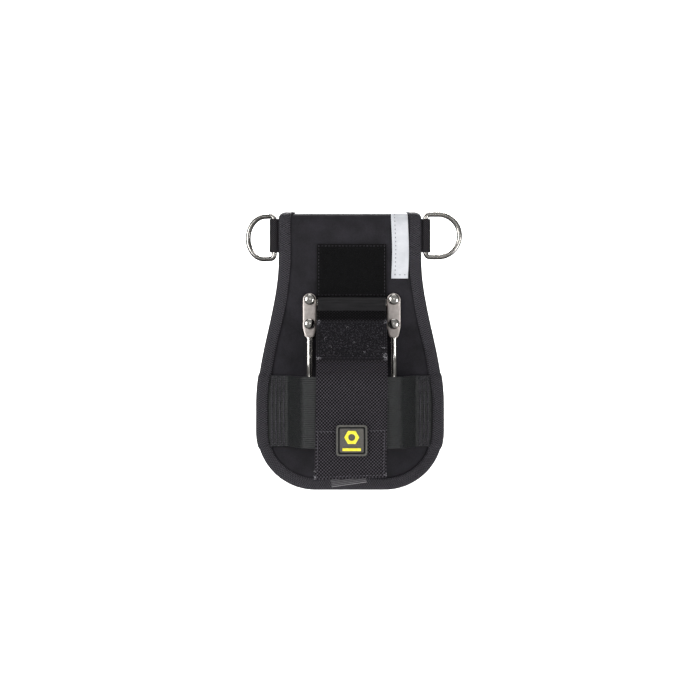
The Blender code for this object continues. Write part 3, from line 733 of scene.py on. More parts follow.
def padded_panel():
    """Foam under nylon, its front cover running on over the fold to roof the belt tunnel."""
    inset = TAPE + 0.3 * MM
    columns, rows, over, sunk = 44, 64, 16, 0.15 * MM
    spots = []  # for each row: half its width, its front point and its back point
    for k in range(over):
        a = math.pi * (1 - k / over)
        front, back = (
            (-FOLD - radius * math.cos(a), FOLD_Z + radius * math.sin(a))
            for radius in (FOLD - 0.02 * MM, FOLD - SHEET)
        )
        spots.append((LOOP_HALF - shoulder(front[1]), front, back))
    for r in range(rows + 1):
        z = FOLD_Z + (BOTTOM + inset - FOLD_Z) * (1 - (1 - r / rows) ** 1.25)
        front = PANEL_FRONT + sunk * ease(r / 4)
        spots.append((half_width(z, inset), (front, z), (PANEL_BACK - sunk, z)))
    verts = []
    for side in (1, 2):
        for spot in spots:
            y, z = spot[side]
            verts += [((2 * c / columns - 1) * spot[0], y, z) for c in range(columns + 1)]
    width, last = columns + 1, len(spots) - 1
    layer = width * len(spots)
    faces = []
    for side in (0, layer):
        for r in range(last):
            for a in range(side + r * width, side + r * width + columns):
                faces.append((a, a + 1, a + 1 + width, a + width))
    rim = list(range(columns)) + [r * width + columns for r in range(last)]
    rim += [last * width + c for c in range(columns, 0, -1)]
    rim += [r * width for r in range(last, 0, -1)]
    for a, b in zip(rim, rim[1:] + rim[:1]):
        faces.append((a, b, b + layer, a + layer))
    return make("padded_panel", verts, faces, OXFORD)


def puff(pad, most):
    """Cloth blown up from inside, pinned where it is sewn, each point's movement capped."""
    verts = pad.data.vertices
    rest = [v.co.copy() for v in verts]
    halfway = (PANEL_FRONT + PANEL_BACK) / 2
    pins = [v.index for v in verts if sewn_down(v.co.x, v.co.z) or v.co.y > halfway]
    held = pad.vertex_groups.new(name="sewn")
    held.add(pins, 1.0, "REPLACE")
    cloth = pad.modifiers.new("puff", "CLOTH")
    settings = {
        "vertex_group_mass": "sewn",
        "mass": 0.004,
        "tension_stiffness": 6,
        "compression_stiffness": 6,
        "shear_stiffness": 3,
        "bending_stiffness": 0.05,
        "use_pressure": True,
        "uniform_pressure_force": 4,
    }
    for key, value in settings.items():
        setattr(cloth.settings, key, value)
    cloth.settings.effector_weights.gravity = 0
    cloth.collision_settings.use_collision = False
    cloth.point_cache.frame_start = 1
    cloth.point_cache.frame_end = 20
    for step in range(1, 21):
        bpy.context.scene.frame_set(step)
    moved = pad.evaluated_get(bpy.context.evaluated_depsgraph_get()).to_mesh()
    shifts = [v.co - r for v, r in zip(moved.vertices, rest)]
    for vertex, place, shift in zip(verts, rest, shifts):
        vertex.co = place + (shift if shift.length < most else shift.normalized() * most)
    pad.modifiers.remove(cloth)
    pad.vertex_groups.clear()
    bpy.context.scene.frame_set(1)


def panel():
    pad = padded_panel()
    puff(pad, 1.5 * MM)
    finer = pad.modifiers.new("finer", "SUBSURF")
    finer.levels = finer.render_levels = 1
    pad = placed(finished(pad), "pouch", "fabric", "front_cover", "rear_cover")


# ---- binding tape ----

def over_band(z):
    """How much the tape rises where it is sewn over the end of the elastic, from 0 to 1."""
    reach, slope = 2.2 * MM, 2.5 * MM
    return ease((z - BAND_LOW.z + reach) / slope) * ease((BAND_HIGH.z + reach - z) / slope)


def binding_section(depth):
    """The tape's section, as inset from the edge and depth behind its front face."""
    r = min(2.4 * MM, depth / 2 - 0.05 * MM)
    lip, soft = TAPE_WIDTH - 0.1 * MM, TAPE_WIDTH - 0.5 * MM

    def bend(radius, y, start, end, steps):
        return arc(r, y, radius, start, end, steps)

    outside = [(lip, 0.15 * MM), (soft, 0)]
    outside += [(TAPE_WIDTH * k / 5, 0) for k in (4, 3, 2)]
    outside += bend(r, r, -QUARTER, -2 * QUARTER, 5) + bend(r, depth - r, 2 * QUARTER, QUARTER, 5)
    outside += [(TAPE_WIDTH * k / 5, depth) for k in (2, 3, 4)]
    outside += [(soft, depth), (lip, depth - 0.15 * MM)]
    inside = [(TAPE_WIDTH, depth - 0.6 * MM)]
    inside += bend(r - TAPE, depth - r, QUARTER, 2 * QUARTER, 4)
    inside += bend(r - TAPE, r, -2 * QUARTER, -QUARTER, 4)
    return outside + inside + [(TAPE_WIDTH, 0.6 * MM)]


def binding():
    """Tape folded round the whole edge and over the top, rising where it crosses the elastic."""
    low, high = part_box("edge_binding")
    proud = PANEL_FRONT - low.y
    thin = SHEET + 2 * proud
    top = []  # over the fold: origin, inward, outward, depth
    for k in range(13):
        a = math.radians(170) * (1 - k / 12) + math.radians(3)
        out = Vector((0, -math.cos(a), math.sin(a)))
        origin = Vector((TOP_HALF, -FOLD, FOLD_Z)) + out * (FOLD + proud)
        origin.x -= shoulder(origin.z)
        top.append((origin, Vector((-1, 0, 0)), out, thin))
    path = edge_path()
    stations = list(top)
    for i, point in enumerate(path):
        before, after = path[max(i - 1, 0)], path[min(i + 1, len(path) - 1)]
        tangent = (after - before).normalized()
        inward = Vector((tangent.z, 0, -tangent.x))
        share = ease((FOLD_Z - point.z) / (5 * MM))
        origin = point + Vector((0, low.y, 0)) - inward * 0.7 * MM * over_band(point.z)
        depth = thin + (high.y - low.y - thin) * share
        stations.append((origin, inward, Vector((0, -1, 0)), depth))
    flip = Matrix.Scale(-1, 4, Vector((1, 0, 0)))
    stations += [(flip @ o, flip @ i, f, d) for o, i, f, d in top[::-1]]
    verts, along, rings, s, last = [], [], [], 0.0, stations[0][0]
    for origin, inward, ahead, depth in stations:
        s += (origin - last).length
        last = origin
        section = binding_section(depth)
        ring, w, before = [], 0.0, section[0]
        for inset, deep in section:
            w += math.dist((inset, deep), before)
            before = (inset, deep)
            lift = BAND_SWELL * over_band(origin.z) * ease((3.5 * MM - deep) / (2 * MM))
            wobble = 0.15 * MM * math.sin(s / (7 * MM)) * ease(inset / TAPE_WIDTH)
            ring.append(origin + inward * (inset + wobble) - ahead * (deep - lift))
            along.append((s, w))
        rings.append(ring)
        verts += ring
    tape = make("edge_binding_tape", verts, ringed(rings), BINDING, along)
    placed(tape, "pouch", "binding", "edge_binding")
    inset, off = TAPE_WIDTH - 1.7 * MM, 0.05 * MM
    front = [o + i * inset + f * (off + BAND_SWELL * over_band(o.z)) for o, i, f, _ in stations]
    back = [o + i * inset - f * (d + off) for o, i, f, d in stations[16:-16]]
    seams("binding_stitches", "pouch", [front, back], 2.6, 1.9, 0.5)


# ---- belt loop, reflective strip, patches ----

def belt_loop():
    """The cover runs over the top, down the wearer's side and in to the back, where it is sewn."""
    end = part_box("belt_loop")[0].z
    sewn_y = PANEL_BACK + 0.3 * MM + SHEET / 2
    under = -1.6 * SHEET
    corners = [
        (0, under, FOLD_Z + 3 * MM),
        (0, under, FOLD_Z - 3 * MM),
        (0, -SHEET / 2, FOLD_Z - 8 * MM),
        (0, -SHEET / 2, -37 * MM),
        (0, sewn_y, -50 * MM),
        (0, sewn_y, end),
    ]
    path = filleted(corners, [4 * MM, 4 * MM, 6 * MM, 6 * MM], 6)
    strap = Strap(path, (1, 0, 0), LOOP_HALF, 1.5 * MM)
    sheet = strap.solid("belt_loop_sheet", SHEET, OXFORD_FOLDED, 30)
    placed(sheet, "pouch", "fabric", "belt_loop")
    off, half = 0.05 * MM, 46 * MM
    levels = [(sewn_y + SHEET / 2 + off, end + 3 * MM), (sewn_y + SHEET / 2 + off, end + 9 * MM)]
    rows = [run((-half, y, z), (half, y, z), 46) for y, z in levels]
    for x in (4 * MM - LOOP_HALF, LOOP_HALF - 4 * MM):
        rows.append(run((x, off, FOLD_Z - 8 * MM), (x, off, -35 * MM), 30))
    rows.append(run((-half, 0, FOLD_Z + 2 * MM), (half, 0, FOLD_Z + 2 * MM), 46))
    seams("belt_loop_stitches", "pouch", rows, 2.8, 2.0, 0.5)


def reflective_strip():
    low, high, centre = span("reflective_strip")
    tape = 0.5 * MM
    middle = FOLD + 0.3 * MM + tape / 2
    over = arc(-FOLD, FOLD_Z, middle, math.pi, math.radians(55), 16)
    y = -FOLD - middle - 0.1 * MM
    path = [(centre.x, y, low.z), (centre.x, y, FOLD_Z - 6 * MM)]
    path += [(centre.x, y, z) for y, z in over]
    strap = Strap(path, (1, 0, 0), (high.x - low.x) / 2)
    strip = strap.solid("reflective_tape", tape, REFLECTIVE, 8, rippled(0.12, 5.5, 3))
    placed(strip, "pouch", "reflective", "reflective_strip")
    inset = 2.6 * MM
    side = inset - strap.half
    proud = -0.3 * MM  # the strap's own normal points back
    far = int(strap.length / MM) - 3
    lines = [strap.line((3 * MM, side), (far * MM, side), proud, far - 3)]
    lines.append(strap.line((inset, side), (inset, side + 7 * MM), proud, 7))
    sewn = seams("strip_stitches", "pouch", lines, 2.85, 1.2, 0.6, GREY_THREAD)
    for piece in (strip, sewn):
        for vertex in piece.data.vertices:
            vertex.co.x += 0.4 * MM * math.sin((vertex.co.z - 4 * MM) / (9 * MM))


def patch_strap(name, node, body, slot, material, thick):
    """A patch standing on the panel or the flap, as a strap from its bottom to its top."""
    low, high, centre = span(node)
    ends = [(MIDDLE, centre.y, low.z), (MIDDLE, centre.y, high.z)]
    strap = Strap(ends, (1, 0, 0), (high.x - low.x) / 2)
    placed(strap.solid(name, thick, material), body, slot, node)
    return strap


def loop_patch():
    strap = patch_strap("loop_tape", "loop_patch", "pouch", "loop_fabric", LOOP_BASE, PATCH)
    low, high, centre = span("loop_patch")
    front, rim = centre.y - PATCH / 2, 2.6 * MM
    left, right, base, top = low.x + rim, high.x - rim, low.z + rim, high.z - rim
    corners = [(left, front, base), (right, front, base), (right, front, top), (left, front, top)]
    loops = pile("loop_pile", "pouch", corners, LOOP_PILE, 1.5, 0.07, 3.7, 5)
    seams("loop_patch_stitches", "pouch", strap.border(RIM, -0.6 * MM), 2.4, 1.7, 0.5)


# ---- D-rings and tabs ----

def d_ring(side, turned):
    """One D-ring of bent wire, its straight leg on its axis, turned out from the pouch."""
    axis = AXES[f"{side}_ring_swing"].copy()
    axis.z = span(f"d_ring_{side}")[2].z
    leg = RING_HALF - RING_CORNER
    flat = arc(RING_CORNER, -leg, RING_CORNER, -2 * QUARTER, -QUARTER, 8)
    flat += arc(RING_REACH - RING_HALF, 0, RING_HALF, -QUARTER, QUARTER, 48)
    flat += arc(RING_CORNER, leg, RING_CORNER, QUARTER, 2 * QUARTER, 8)
    flat.append(flat[0])
    path = even([(x, 0, z) for x, z in flat], 1.1 * MM)[:-1]
    turn = Matrix.Translation(axis) @ Matrix.Rotation(turned, 4, "Z")
    ring = wire(f"{side}_ring_wire", [turn @ p for p in path], RING_WIRE, RING_NICKEL, True)
    placed(ring, f"{side}_ring", "ring_steel", f"d_ring_{side}")


def ring_tab(side, sign):
    """Webbing folded round the ring's straight leg, its two ends sewn into the panel."""
    low, high, centre = span(f"d_ring_tab_{side}")
    axis = AXES[f"{side}_ring_swing"]
    root, waist = (-12.5 * MM, 0.62 * MM), (-4.2 * MM, 0.75 * MM)
    fold = arc(0, 0, TAB_FOLD, -math.radians(125), math.radians(125), 16)
    flat = [(x, -y) for x, y in (root, waist)] + fold + [waist, root]
    path = [(axis.x + sign * x, axis.y + y, centre.z) for x, y in flat]
    strap = Strap(path, (0, 0, 1), (high.z - low.z) / 2, 0.8 * MM)
    tab = strap.solid(f"{side}_ring_tab", 1.05 * MM, TAB_WEBBING, 14)
    placed(tab, "pouch", "webbing", f"d_ring_tab_{side}")
    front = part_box("edge_binding")[0].y - 0.05 * MM
    x0, x1 = sign * 43.5 * MM, sign * 49.6 * MM
    z0, z1 = low.z + 0.5 * MM, FOLD_Z - 1.5 * MM
    corners = [(x0, z0), (x1, z0), (x1, z1), (x0, z1), (x0, z0)]
    line = even([(x, front, z) for x, z in corners], 1.2 * MM)
    seams(f"{side}_tab_box_stitch", "pouch", [line], 2.2, 1.6, 0.5)


# ---- steel cradle, crossbar, rivets ----

def cradle_path():
    """Down the left side from the plate's top, out round the front, and up the right side."""
    near, plate_y, far = forward(ROD_FORWARD), forward(PLATE_FORWARD), forward(CRADLE_FORWARD)
    left, right = MIDDLE - ROD_HALF_SPAN, MIDDLE + ROD_HALF_SPAN
    straight = NECK_END - 2 * MM
    corners = [(left, near, straight), (left, near, CRADLE_BEND), (left, far, CRADLE_FRONT)]
    corners += [(right, y, z) for _, y, z in corners[::-1]]
    middle = filleted(corners, [28 * MM, 9 * MM, 9 * MM, 28 * MM])
    start = [Vector((left, plate_y, PLATE_TOP))]
    for k in range(24):
        z = NECK_TOP + 2 * MM + (straight - NECK_TOP) * k / 24
        share = ease((NECK_TOP - z) / (NECK_TOP - NECK_END))
        start.append(Vector((left, plate_y + (near - plate_y) * share, z)))
    end = [Vector((right, p.y, p.z)) for p in start[::-1]]
    return even(start + middle + end, 0.7 * MM)


def cradle():
    """One rod, hammered flat at both ends; the flat swells out of the round over a short neck."""
    turns = [2 * math.pi * k / 40 for k in range(40)]
    rings = []
    for point, a, b in frames(cradle_path()):
        flatness = ease((point.z - NECK_END + 0.7 * MM) / (1.4 * MM))
        widening = ease((point.z - NECK_END) / (NECK_TOP - NECK_END))
        half = NECK_HALF + (PLATE_HALF - NECK_HALF) * widening
        half = ROD + (half - ROD) * flatness
        deep = ROD + (PLATE_DEEP - ROD) * flatness
        below = PLATE_TOP - point.z
        if below < PLATE_HALF:
            half = math.sqrt(max(PLATE_HALF**2 - (PLATE_HALF - below) ** 2, (0.4 * MM) ** 2))
            deep *= min(1, 0.7 + 0.3 * math.sqrt(below / PLATE_HALF))
        power = 2 + 5 * flatness
        ring = []
        for turn in turns:
            way = a * math.cos(turn) + b * math.sin(turn)
            if flatness:
                # the ring's points gather where the flat's edges are
                u, v = abs(way.x) * half, math.sqrt(max(1 - way.x**2, 0)) * deep
                norm = math.hypot(u, v)
                u, v = u / norm, v / norm
                radius = ((u / half) ** power + (v / deep) ** power) ** (-1 / power)
                way = Vector((math.copysign(u, way.x), math.copysign(v, way.y), 0))
                ring.append(point + way * radius)
            else:
                ring.append(point + way * ROD)
        rings.append(ring)
    rod = make("cradle_rod", [v for r in rings for v in r], ringed(rings), SATIN)
    rod.data.materials.append(POLISHED)
    for face in rod.data.polygons:
        face.material_index = 0 if face.center.z > NECK_END else 1
    placed(rod, "pouch", "cradle_steel", "cradle_loop")

    low, high, centre = span("crossbar")
    ends = [(x, centre.y, centre.z) for x in (low.x, high.x)]
    bar = wire("crossbar_rod", even(ends, 2 * MM), (high.z - low.z) / 2, POLISHED)
    placed(bar, "pouch", "cradle_steel", "crossbar")


def rivets():
    """Domed heads with a small flat brim, and a flat tail behind."""
    dome, brim, shank, tail, foot = 2.2 * MM, 0.4 * MM, 1.6 * MM, 2.8 * MM, 0.7 * MM
    sides = 32
    turns = [2 * math.pi * k / sides for k in range(sides)]
    for node in [n for n in frame["nodes"] if n.startswith("rivet")]:
        low, high, (x, _, z) = span(node)
        head, deep = (high.x - low.x) / 2, high.y - low.y
        bow = [QUARTER * k / 12 for k in range(1, 13)]
        profile = [(head * math.sin(a), dome * (1 - math.cos(a))) for a in bow]
        profile += [(head, dome + 0.25 * MM), (head - 0.3 * MM, dome + brim)]
        profile += [(shank, dome + brim), (shank, deep - foot), (tail, deep - foot), (tail, deep)]
        verts = [(x, low.y, z)]
        for r, y in profile:
            verts += [(x + r * math.cos(t), low.y + y, z + r * math.sin(t)) for t in turns]
        verts.append((x, high.y, z))
        sleeve = ringed([turns] * len(profile))[:-2]
        faces = [tuple(i + 1 for i in face) for face in sleeve]
        last = 1 + (len(profile) - 1) * sides
        for k in range(sides):
            m = (k + 1) % sides
            faces += [(0, 1 + k, 1 + m), (len(verts) - 1, last + m, last + k)]
        rivet = make(node + "_turned", verts, faces, POLISHED)
        placed(rivet, "pouch", "cradle_steel", node)


# ---- elastic band ----

def elastic_band():
    gap = 0.6 * MM
    around = ROD + gap + BAND_THICK / 2
    side, out = ROD_HALF_SPAN + around, forward(CRADLE_FORWARD + around)
    flat = forward(0.15 * MM + BAND_THICK / 2)
    height = (BAND_LOW.z + BAND_HIGH.z) / 2
    end = half_width(height) - 3.4 * MM
    corners = [(end, flat), (MIDDLE + BAND_FOOT, flat), (MIDDLE + side, out)]
    corners += [(MIDDLE - side, out), (MIDDLE - BAND_FOOT, flat), (-end, flat)]
    path = filleted([(x, y, height) for x, y in corners], [4 * MM, 11 * MM, 11 * MM, 4 * MM])
    strap = Strap(path, (0, 0, 1), (BAND_HIGH.z - BAND_LOW.z) / 2, 2.2 * MM)

    def ribs(s, u):
        return 0.14 * MM * math.cos(2 * math.pi * u / CORD)

    def waisted(s):
        """The band narrows a little where it is stretched over the cradle."""
        return 0.7 * MM * math.sin(math.pi * s / strap.length) ** 2

    band = strap.solid("ribbed_band", BAND_THICK - 0.3 * MM, ELASTIC, 158, ribs, waisted)
    placed(band, "pouch", "elastic", "elastic_band")
    zigzags = []
    front, swing, rim = flat - BAND_THICK / 2, 0.6 * MM, 1 * MM
    for sign in (-1, 1):
        for k in range(4):
            x = sign * (47.3 + 2.75 * k) * MM
            zigzag = run((x, front, BAND_LOW.z + rim), (x, front, BAND_HIGH.z - rim), 53)
            for i, point in enumerate(zigzag):
                point.x += swing if i % 2 else -swing
            zigzags.append(zigzag)
    seams("band_end_stitches", "pouch", zigzags, 1.54, 1.7, 0.75, BAND_THREAD)
    patch_strap(
        "closure_loop_tape", "closure_loop_patch", "pouch", "loop_fabric", LOOP_BASE, CLOSURE_PATCH
    )


# ---- trap flap ----

def wrapped(centre, out, radius, sweep, before, steps):
    """Points round the crossbar, from just before its back side; angles in degrees."""
    start = math.atan2(-out.y, -out.x)
    turns = (start + math.radians(sweep * k / steps - before) for k in range(steps + 1))
    return [centre + Vector((math.cos(t), math.sin(t))) * radius for t in turns]


def flap_path():
    """From its sewn tail, over the crossbar, down the slope, over the band and up the hem."""
    lift = FLAP_LAYER / 2 + 0.03 * MM
    face = FLAP_LOW.y + FLAP_DOUBLE / 2
    hinge = Vector((HINGE.y, HINGE.z))
    slope = (Vector((face, FLAP_BEND)) - hinge).normalized()
    out = Vector((slope.y, -slope.x))
    path = [hinge + slope * 24 * MM - out * lift, hinge + slope * 9 * MM - out * lift]
    path += wrapped(hinge, out, FLAP_WRAP, 220, 20, 18)[1:-1]
    path.append(hinge + slope * 9 * MM + out * lift)
    bottom = FLAP_LOW.z + lift
    top = hinge + slope * 12 * MM + out * lift
    path += filleted([top, (face - lift, FLAP_BEND), (face - lift, bottom)], [14 * MM])
    path += arc(face, bottom, lift, math.pi, 2 * math.pi, 8)[1:]
    path.append((face + lift, FLAP_LOW.z + HEM))
    return [(MIDDLE, y, z) for y, z in path], hinge, slope, out


def hang_askew(piece):
    """The free end of the flap hangs a little to the left, with its hem a touch off level."""
    for vertex in piece.data.vertices:
        drop = ease((FLAP_BEND - vertex.co.z) / (FLAP_BEND - FLAP_LOW.z))
        vertex.co.z += (vertex.co.x - MIDDLE) * 0.035 * drop
        vertex.co.x -= 0.9 * MM * drop


def loose_threads(name, slot, starts):
    """Cut thread ends and lint: each start is a place, a direction to lie in, a count, a length."""
    right = Vector((1, 0, 0))
    lines = []
    for place, up, count, longest in starts:
        lift = right.cross(up).normalized()
        lift = lift if lift.y < 0 else -lift
        for _ in range(count):
            length = random.uniform(0.4, 1) * longest
            sweep, curl = random.uniform(0, 6.28), random.uniform(-2, 2)
            line = []
            for k in range(6):
                t, turn = length * k / 5, sweep + curl * k / 3
                lie = right * math.cos(turn) + up * math.sin(turn) + lift * 0.08
                line.append(place + lie * t)
            lines.append(line)
    threads = lines_curve(name, lines)
    threads.data.bevel_depth = 0.08 * MM
    threads.data.bevel_resolution = 1
    threads.data.use_fill_caps = True
    threads.data.materials.append(LINT)
    placed(finished(threads), "flap", slot)


def trap_flap():
    """The webbing flap with its hem, and the smooth tape sleeve sewn on round the crossbar."""
    path, hinge, slope, out = flap_path()
    strap = Strap(path, (1, 0, 0), (FLAP_HIGH.x - FLAP_LOW.x) / 2, 0.9 * MM)
    crown = 34 * MM  # length from the tail's end to the crossbar's far side

    def narrow(s):
        """The sleeve is eased in to pass between the two flat ends of the cradle."""
        return 0.55 * MM * (1 - ease((s - crown - 6 * MM) / (10 * MM)))

    relief = rippled(0.05, 9, 11, 1.3)
    flap = strap.solid("trap_flap_webbing", FLAP_LAYER, WEBBING, 20, relief, narrow)
    hang_askew(flap)
    placed(flap, "flap", "webbing", "trap_flap")

    front = min(p.y for p in strap.path) - FLAP_LAYER / 2
    half, off, reach = strap.half, front - 0.05 * MM, 23 * MM
    low, high = FLAP_LOW.z + 1.6 * MM, FLAP_LOW.z + HEM - 2.5 * MM
    rows = [run((MIDDLE - reach, off, z), (MIDDLE + reach, off, z), 23) for z in (low, high)]
    for x in (MIDDLE - half + 1.8 * MM, MIDDLE + half - 1.8 * MM):
        rows.append(run((x, off, low), (x, off, high), 20))
    hang_askew(seams("flap_hem_stitches", "flap", rows, 2.2, 1.6, 0.55, HEM_THREAD))

    left, right = MIDDLE - half - 0.6 * MM, MIDDLE + half - 0.9 * MM
    frays = [(left, 0.2, 4), (left, 1.6, 4), (left, 4.5, 3), (right, 2.4, 4)]
    up = Vector((0, 0, 1))
    places = [(Vector((x, off, FLAP_LOW.z + z * MM)), count) for x, z, count in frays]
    starts = [(place, up, count, 1.6 * MM) for place, count in places]
    loose_threads("hem_thread_ends", "webbing", starts)

    lift = FLAP_LAYER + 0.4 * MM
    centre = hinge + Vector((-0.2, -0.3)) * MM
    loop = [hinge + slope * 7 * MM - out * (lift - 0.3 * MM)]
    loop += wrapped(centre, out, 3.85 * MM, 263, 38, 28)
    loop.append(hinge + slope * 8 * MM + out * (lift - 0.25 * MM))
    sleeve = Strap([(MIDDLE, y, z) for y, z in loop], (1, 0, 0), half - 0.6 * MM, 0.6 * MM)

    def slack(s, u):
        return 0.07 * MM * math.sin(s / (1.1 * MM) + 2 * math.sin(u / (14 * MM)))

    roll = sleeve.solid("crossbar_sleeve_tape", 0.7 * MM, SLEEVE_TAPE, 16, slack)
    placed(roll, "flap", "webbing", "trap_flap")
    return front, hinge, slope, out


def hook_patches(hinge, slope, out):
    """Hook tape on the slope, to hold the flap open, and behind it, to hold it shut."""
    low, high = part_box("hook_patch")
    base = FLAP_DOUBLE / 2 + 0.9 * MM
    start, length = 17.4 * MM, 31.9 * MM
    ends = [hinge + slope * s + out * base for s in (start, start + length)]
    half = (high.x - low.x) / 2 + 0.5 * MM
    strap = Strap([(MIDDLE, end.x, end.y) for end in ends], (1, 0, 0), half)
    patch = strap.solid("hook_tape", 1 * MM, HOOK_BASE, 16, rippled(0.1, 6, 7))
    placed(patch, "flap", "hook_fabric", "hook_patch")
    rim, w, top = 2.4 * MM, half - 2.4 * MM, 0.5 * MM
    places = [(rim, -w), (rim, w), (length - rim, w), (length - rim, -w)]
    corners = [strap.at(s, u, top) for s, u in places]
    pile("hook_pile", "flap", corners, HOOK_PILE, 0.95, 0.1, 3.4, 9)
    edge, sewn = half - RIM, 0.6 * MM
    lines = strap.border(1.2 * MM, sewn)
    for s0, s1 in ((2 * MM, length - 2 * MM), (length - 2 * MM, 2 * MM)):
        lines.append(strap.line((s0, -edge), (s1, edge), sewn, 30))
    seams("hook_patch_stitches", "flap", lines, 2.5, 1.8, 0.45)

    up = (strap.path[0] - strap.path[-1]).normalized()
    frays = [(1.4, -1, 4), (1.4, 1, 4), (30.5, -1, 5), (30.5, 1, 9), (27, 1, 4), (23, 1, 3)]
    starts = [(strap.at(s * MM, u * edge, 0.75 * MM), up, n, 2.8 * MM) for s, u, n in frays]
    for _ in range(7):
        s = random.uniform(3 * MM, length - 3 * MM)
        u = random.uniform(2 * MM - edge, edge - 2 * MM)
        starts.append((strap.at(s, u, 0.9 * MM), up, 1, 3 * MM))
    loose_threads("hook_tape_thread_ends", "hook_fabric", starts)
    patch_strap(
        "closure_hook_tape", "closure_hook_patch", "flap", "hook_fabric", HOOK_BASE, CLOSURE_PATCH
    )


# ---- badge and label ----

def plate(name, outline, back, front, material, bevel):
    """A plate standing in X and Z with soft edges."""
    n = len(outline)
    verts = [(x, y, z) for y in (front, back) for x, z in outline]
    faces = [tuple(range(n)), tuple(range(n, 2 * n))[::-1]]
    faces += [(k, k + n, (k + 1) % n + n, (k + 1) % n) for k in range(n)]
    return bevelled(make(name, verts, faces, material, flat=True), bevel)


def washer(name, outer, inner, back, front, material, bevel):
    """A plate with a hole, whose two outlines have the same number of points."""
    rings = ((outer, back), (outer, front), (inner, front), (inner, back))
    verts = [(x, y, z) for ring, y in rings for x, z in ring]
    faces = ringed([outer] * 4, True)
    return bevelled(make(name, verts, faces, material, flat=True), bevel)


def rounded_square(x, z, half, corner):
    points = []
    reach = half - corner
    for i, (sx, sz) in enumerate(((1, 1), (-1, 1), (-1, -1), (1, -1))):
        centre = x + sx * reach, z + sz * reach
        points += arc(*centre, corner, i * QUARTER, (i + 1) * QUARTER, 6)
    return points


def badge(back):
    """A rubber badge: a raised rim round a sunk field, with a nut mark and a plain bar on it."""
    low, high, (x, _, z) = span("badge_base")
    half = (high.x - low.x) / 2
    back, front = back - 0.05 * MM, low.y
    floor = front + 0.7 * MM
    ground = floor + 0.55 * MM
    ground_edge = rounded_square(x, z, half - 0.4 * MM, 2 * MM)
    field_edge = rounded_square(x, z, half - 2.5 * MM, 0.8 * MM)
    outer = rounded_square(x, z, half, 2.2 * MM)
    inner = rounded_square(x, z, half - 1.35 * MM, 1.2 * MM)
    pieces = (
        plate("badge_ground", ground_edge, back, ground, BADGE_BLACK, 0.1 * MM),
        plate("badge_field", field_edge, ground + 0.1 * MM, floor, BADGE_GREY, 0.15 * MM),
        washer("badge_rim", outer, inner, back, front, BADGE_RIM, 0.35 * MM),
    )
    for piece in pieces:
        placed(piece, "flap", "badge_rubber", "badge_base")

    low, high, (x, _, z) = span("badge_emblem")
    points = [(math.cos(a), math.sin(a)) for a in (math.pi / 3 * k for k in range(7))]
    size = (high.x - low.x) / 2
    hexagon = []
    for (ax, az), (bx, bz) in zip(points, points[1:]):
        for t in (0, 0.25, 0.5, 0.75):
            hexagon.append((x + size * (ax + (bx - ax) * t), z + size * (az + (bz - az) * t)))
    hole = arc(x, z, 2.4 * MM, 0, 4 * QUARTER, 24)[:-1]
    nut = washer("badge_nut_mark", hexagon, hole, floor, front, BADGE_YELLOW, 0.15 * MM)
    placed(nut, "flap", "badge_yellow", "badge_emblem")
    low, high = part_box("badge_bar")
    outline = [(low.x, low.z), (high.x, low.z), (high.x, high.z), (low.x, high.z)]
    bar = plate("badge_plain_bar", outline, floor, front, BADGE_YELLOW, 0.2 * MM)
    placed(bar, "flap", "badge_yellow", "badge_bar")


def care_label():
    """A woven label folded in half, its fold hanging out below the flap."""
    centre = span("care_label")[2]
    tilt, gap, rise, drop = math.radians(8), 0.32 * MM, 6 * MM, -5.2 * MM
    fold = [(-gap, rise), *arc(0, drop, gap, math.pi, 2 * math.pi, 8), (gap, rise)]
    across = Vector((math.cos(tilt), 0, math.sin(tilt)))
    down = Vector((math.sin(tilt), 0, -math.cos(tilt)))
    path = [centre + Vector((0, y, 0)) - down * z for y, z in fold]
    strap = Strap(path, across, 12.2 * MM, 0.5 * MM)
    label = strap.solid("folded_care_label", 0.4 * MM, LABEL_CLOTH)
    placed(label, "flap", "label", "care_label")


def hidden_parts():
    """Plain finishes for the frame's own parts that stay, all of them inside the panel."""
    finishes = {
        "foam_pad": FOAM,
        "stiffener_board": BOARD,
        "backing_plate_left": PLAIN_STEEL,
        "backing_plate_right": PLAIN_STEEL,
    }
    for node, material in finishes.items():
        materials = frame["nodes"][node].data.materials
        materials.clear()
        materials.append(material)


# ---- studio ----

def paper_sweep():
    """White paper under the pouch and up behind it; it stays out of the steel's reflections."""
    paper, _, sockets = blank("white_paper", 0.9, Base_Color=(0.9, 0.9, 0.9, 1))
    sockets["Emission Color"].default_value = (1, 1, 1, 1)
    sockets["Emission Strength"].default_value = 0.8
    floor_z, wall_y, curve, reach = -0.85, 1.1, 0.6, 2.4
    bend = arc(wall_y - curve, floor_z + curve, curve, -QUARTER, 0, 16)
    section = [(-reach, floor_z), *bend, (wall_y, floor_z + reach)]
    verts = [(x, y, z) for y, z in section for x in (-reach, reach)]
    faces = [(2 * i, 2 * i + 1, 2 * i + 3, 2 * i + 2) for i in range(len(section) - 1)]
    sweep = make("paper_sweep", verts, faces, paper)
    sweep.visible_glossy = False


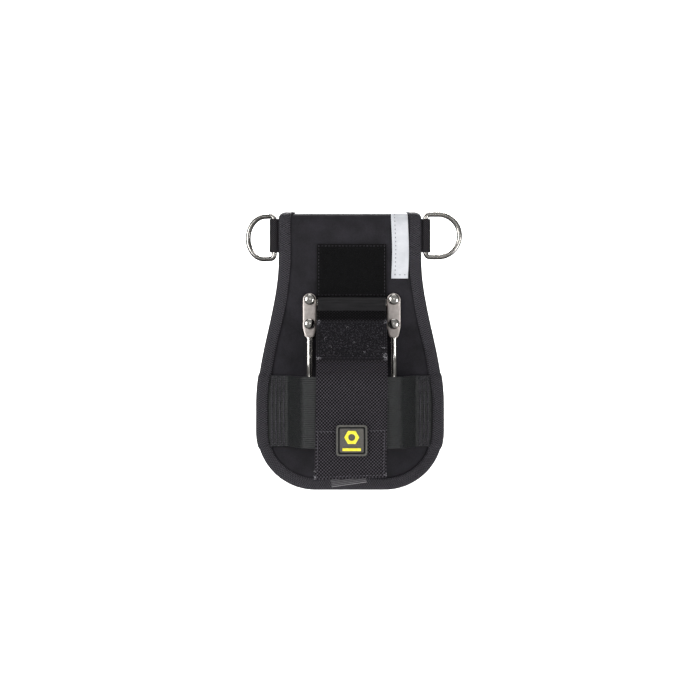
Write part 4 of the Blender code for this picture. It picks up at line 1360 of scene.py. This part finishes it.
def studio():
    scene = bpy.context.scene
    scene.view_settings.view_transform = "Standard"
    camera = bpy.data.cameras.new("camera")
    camera.lens = 79
    camera.sensor_width = 36
    eye = linked("camera", camera)
    eye.location = (0, PANEL_FRONT - 1.098, BOTTOM + 0.1001)
    eye.rotation_euler = (QUARTER, 0, 0)
    scene.camera = eye
    paper_sweep()

    # white to the eye, dim to cloth, and in the steel a soft tent that stands only in front
    scene.world = bpy.data.worlds.new("studio")
    scene.world.use_nodes = True
    tree = scene.world.node_tree
    ray = add(tree, "ShaderNodeLightPath").node.outputs
    way = add(tree, "ShaderNodeTexCoord", out="Generated")
    ahead = add(tree, "ShaderNodeSeparateXYZ", {0: way}, 1)
    tent = add(tree, "ShaderNodeMapRange", {0: ahead, 1: 0.1, 2: -0.7, 3: 0, 4: 0.2})
    white = {0: ray["Is Camera Ray"], 1: 0.94, 2: 0.06}
    white = add(tree, MATH, white, operation="MULTIPLY_ADD")
    sky = tree.nodes["Background"].inputs
    sky["Color"].default_value = (1, 1, 1, 1)
    lit = {0: ray["Is Glossy Ray"], 1: tent, 2: white}
    add(tree, MATH, lit, into=sky["Strength"], operation="MULTIPLY_ADD")

    aim = Vector((0, PANEL_FRONT, BOTTOM + 0.1))
    boxes = (
        ("left_box", (-1.0, -0.85, 0.14), 0.6, 0.8, 13),
        ("right_box", (1.0, -0.9, -0.3), 0.5, 0.7, 13),
        ("front_box", (0.1, -1.7, 1.0), 1.2, 0.8, 7),
        ("camera_box", (0.08, -1.75, 0.2), 0.3, 0.3, 5),
        ("top_box", (0, -0.1, 1.1), 0.8, 0.6, 4),
        ("rim_box", (0, 0.85, 0.68), 1.4, 0.3, 45),
    )
    for name, place, wide, high, brightness in boxes:
        data = bpy.data.lights.new(name, "AREA")
        data.shape = "RECTANGLE"
        data.size, data.size_y = wide, high
        data.energy = brightness * math.pi * wide * high / 2
        lamp = linked(name, data)
        lamp.location = place
        lamp.rotation_euler = (aim - Vector(place)).to_track_quat("-Z", "Y").to_euler()
        lamp.visible_glossy = name != "front_box"


# ---- putting it together ----

panel()
binding()
belt_loop()
reflective_strip()
loop_patch()
d_ring("left", math.pi + LEFT_SWING)
d_ring("right", 0)
ring_tab("left", -1)
ring_tab("right", 1)
cradle()
rivets()
elastic_band()
flap_front, *flap_frame = trap_flap()
hook_patches(*flap_frame)
badge(flap_front)
care_label()
hidden_parts()
studio()
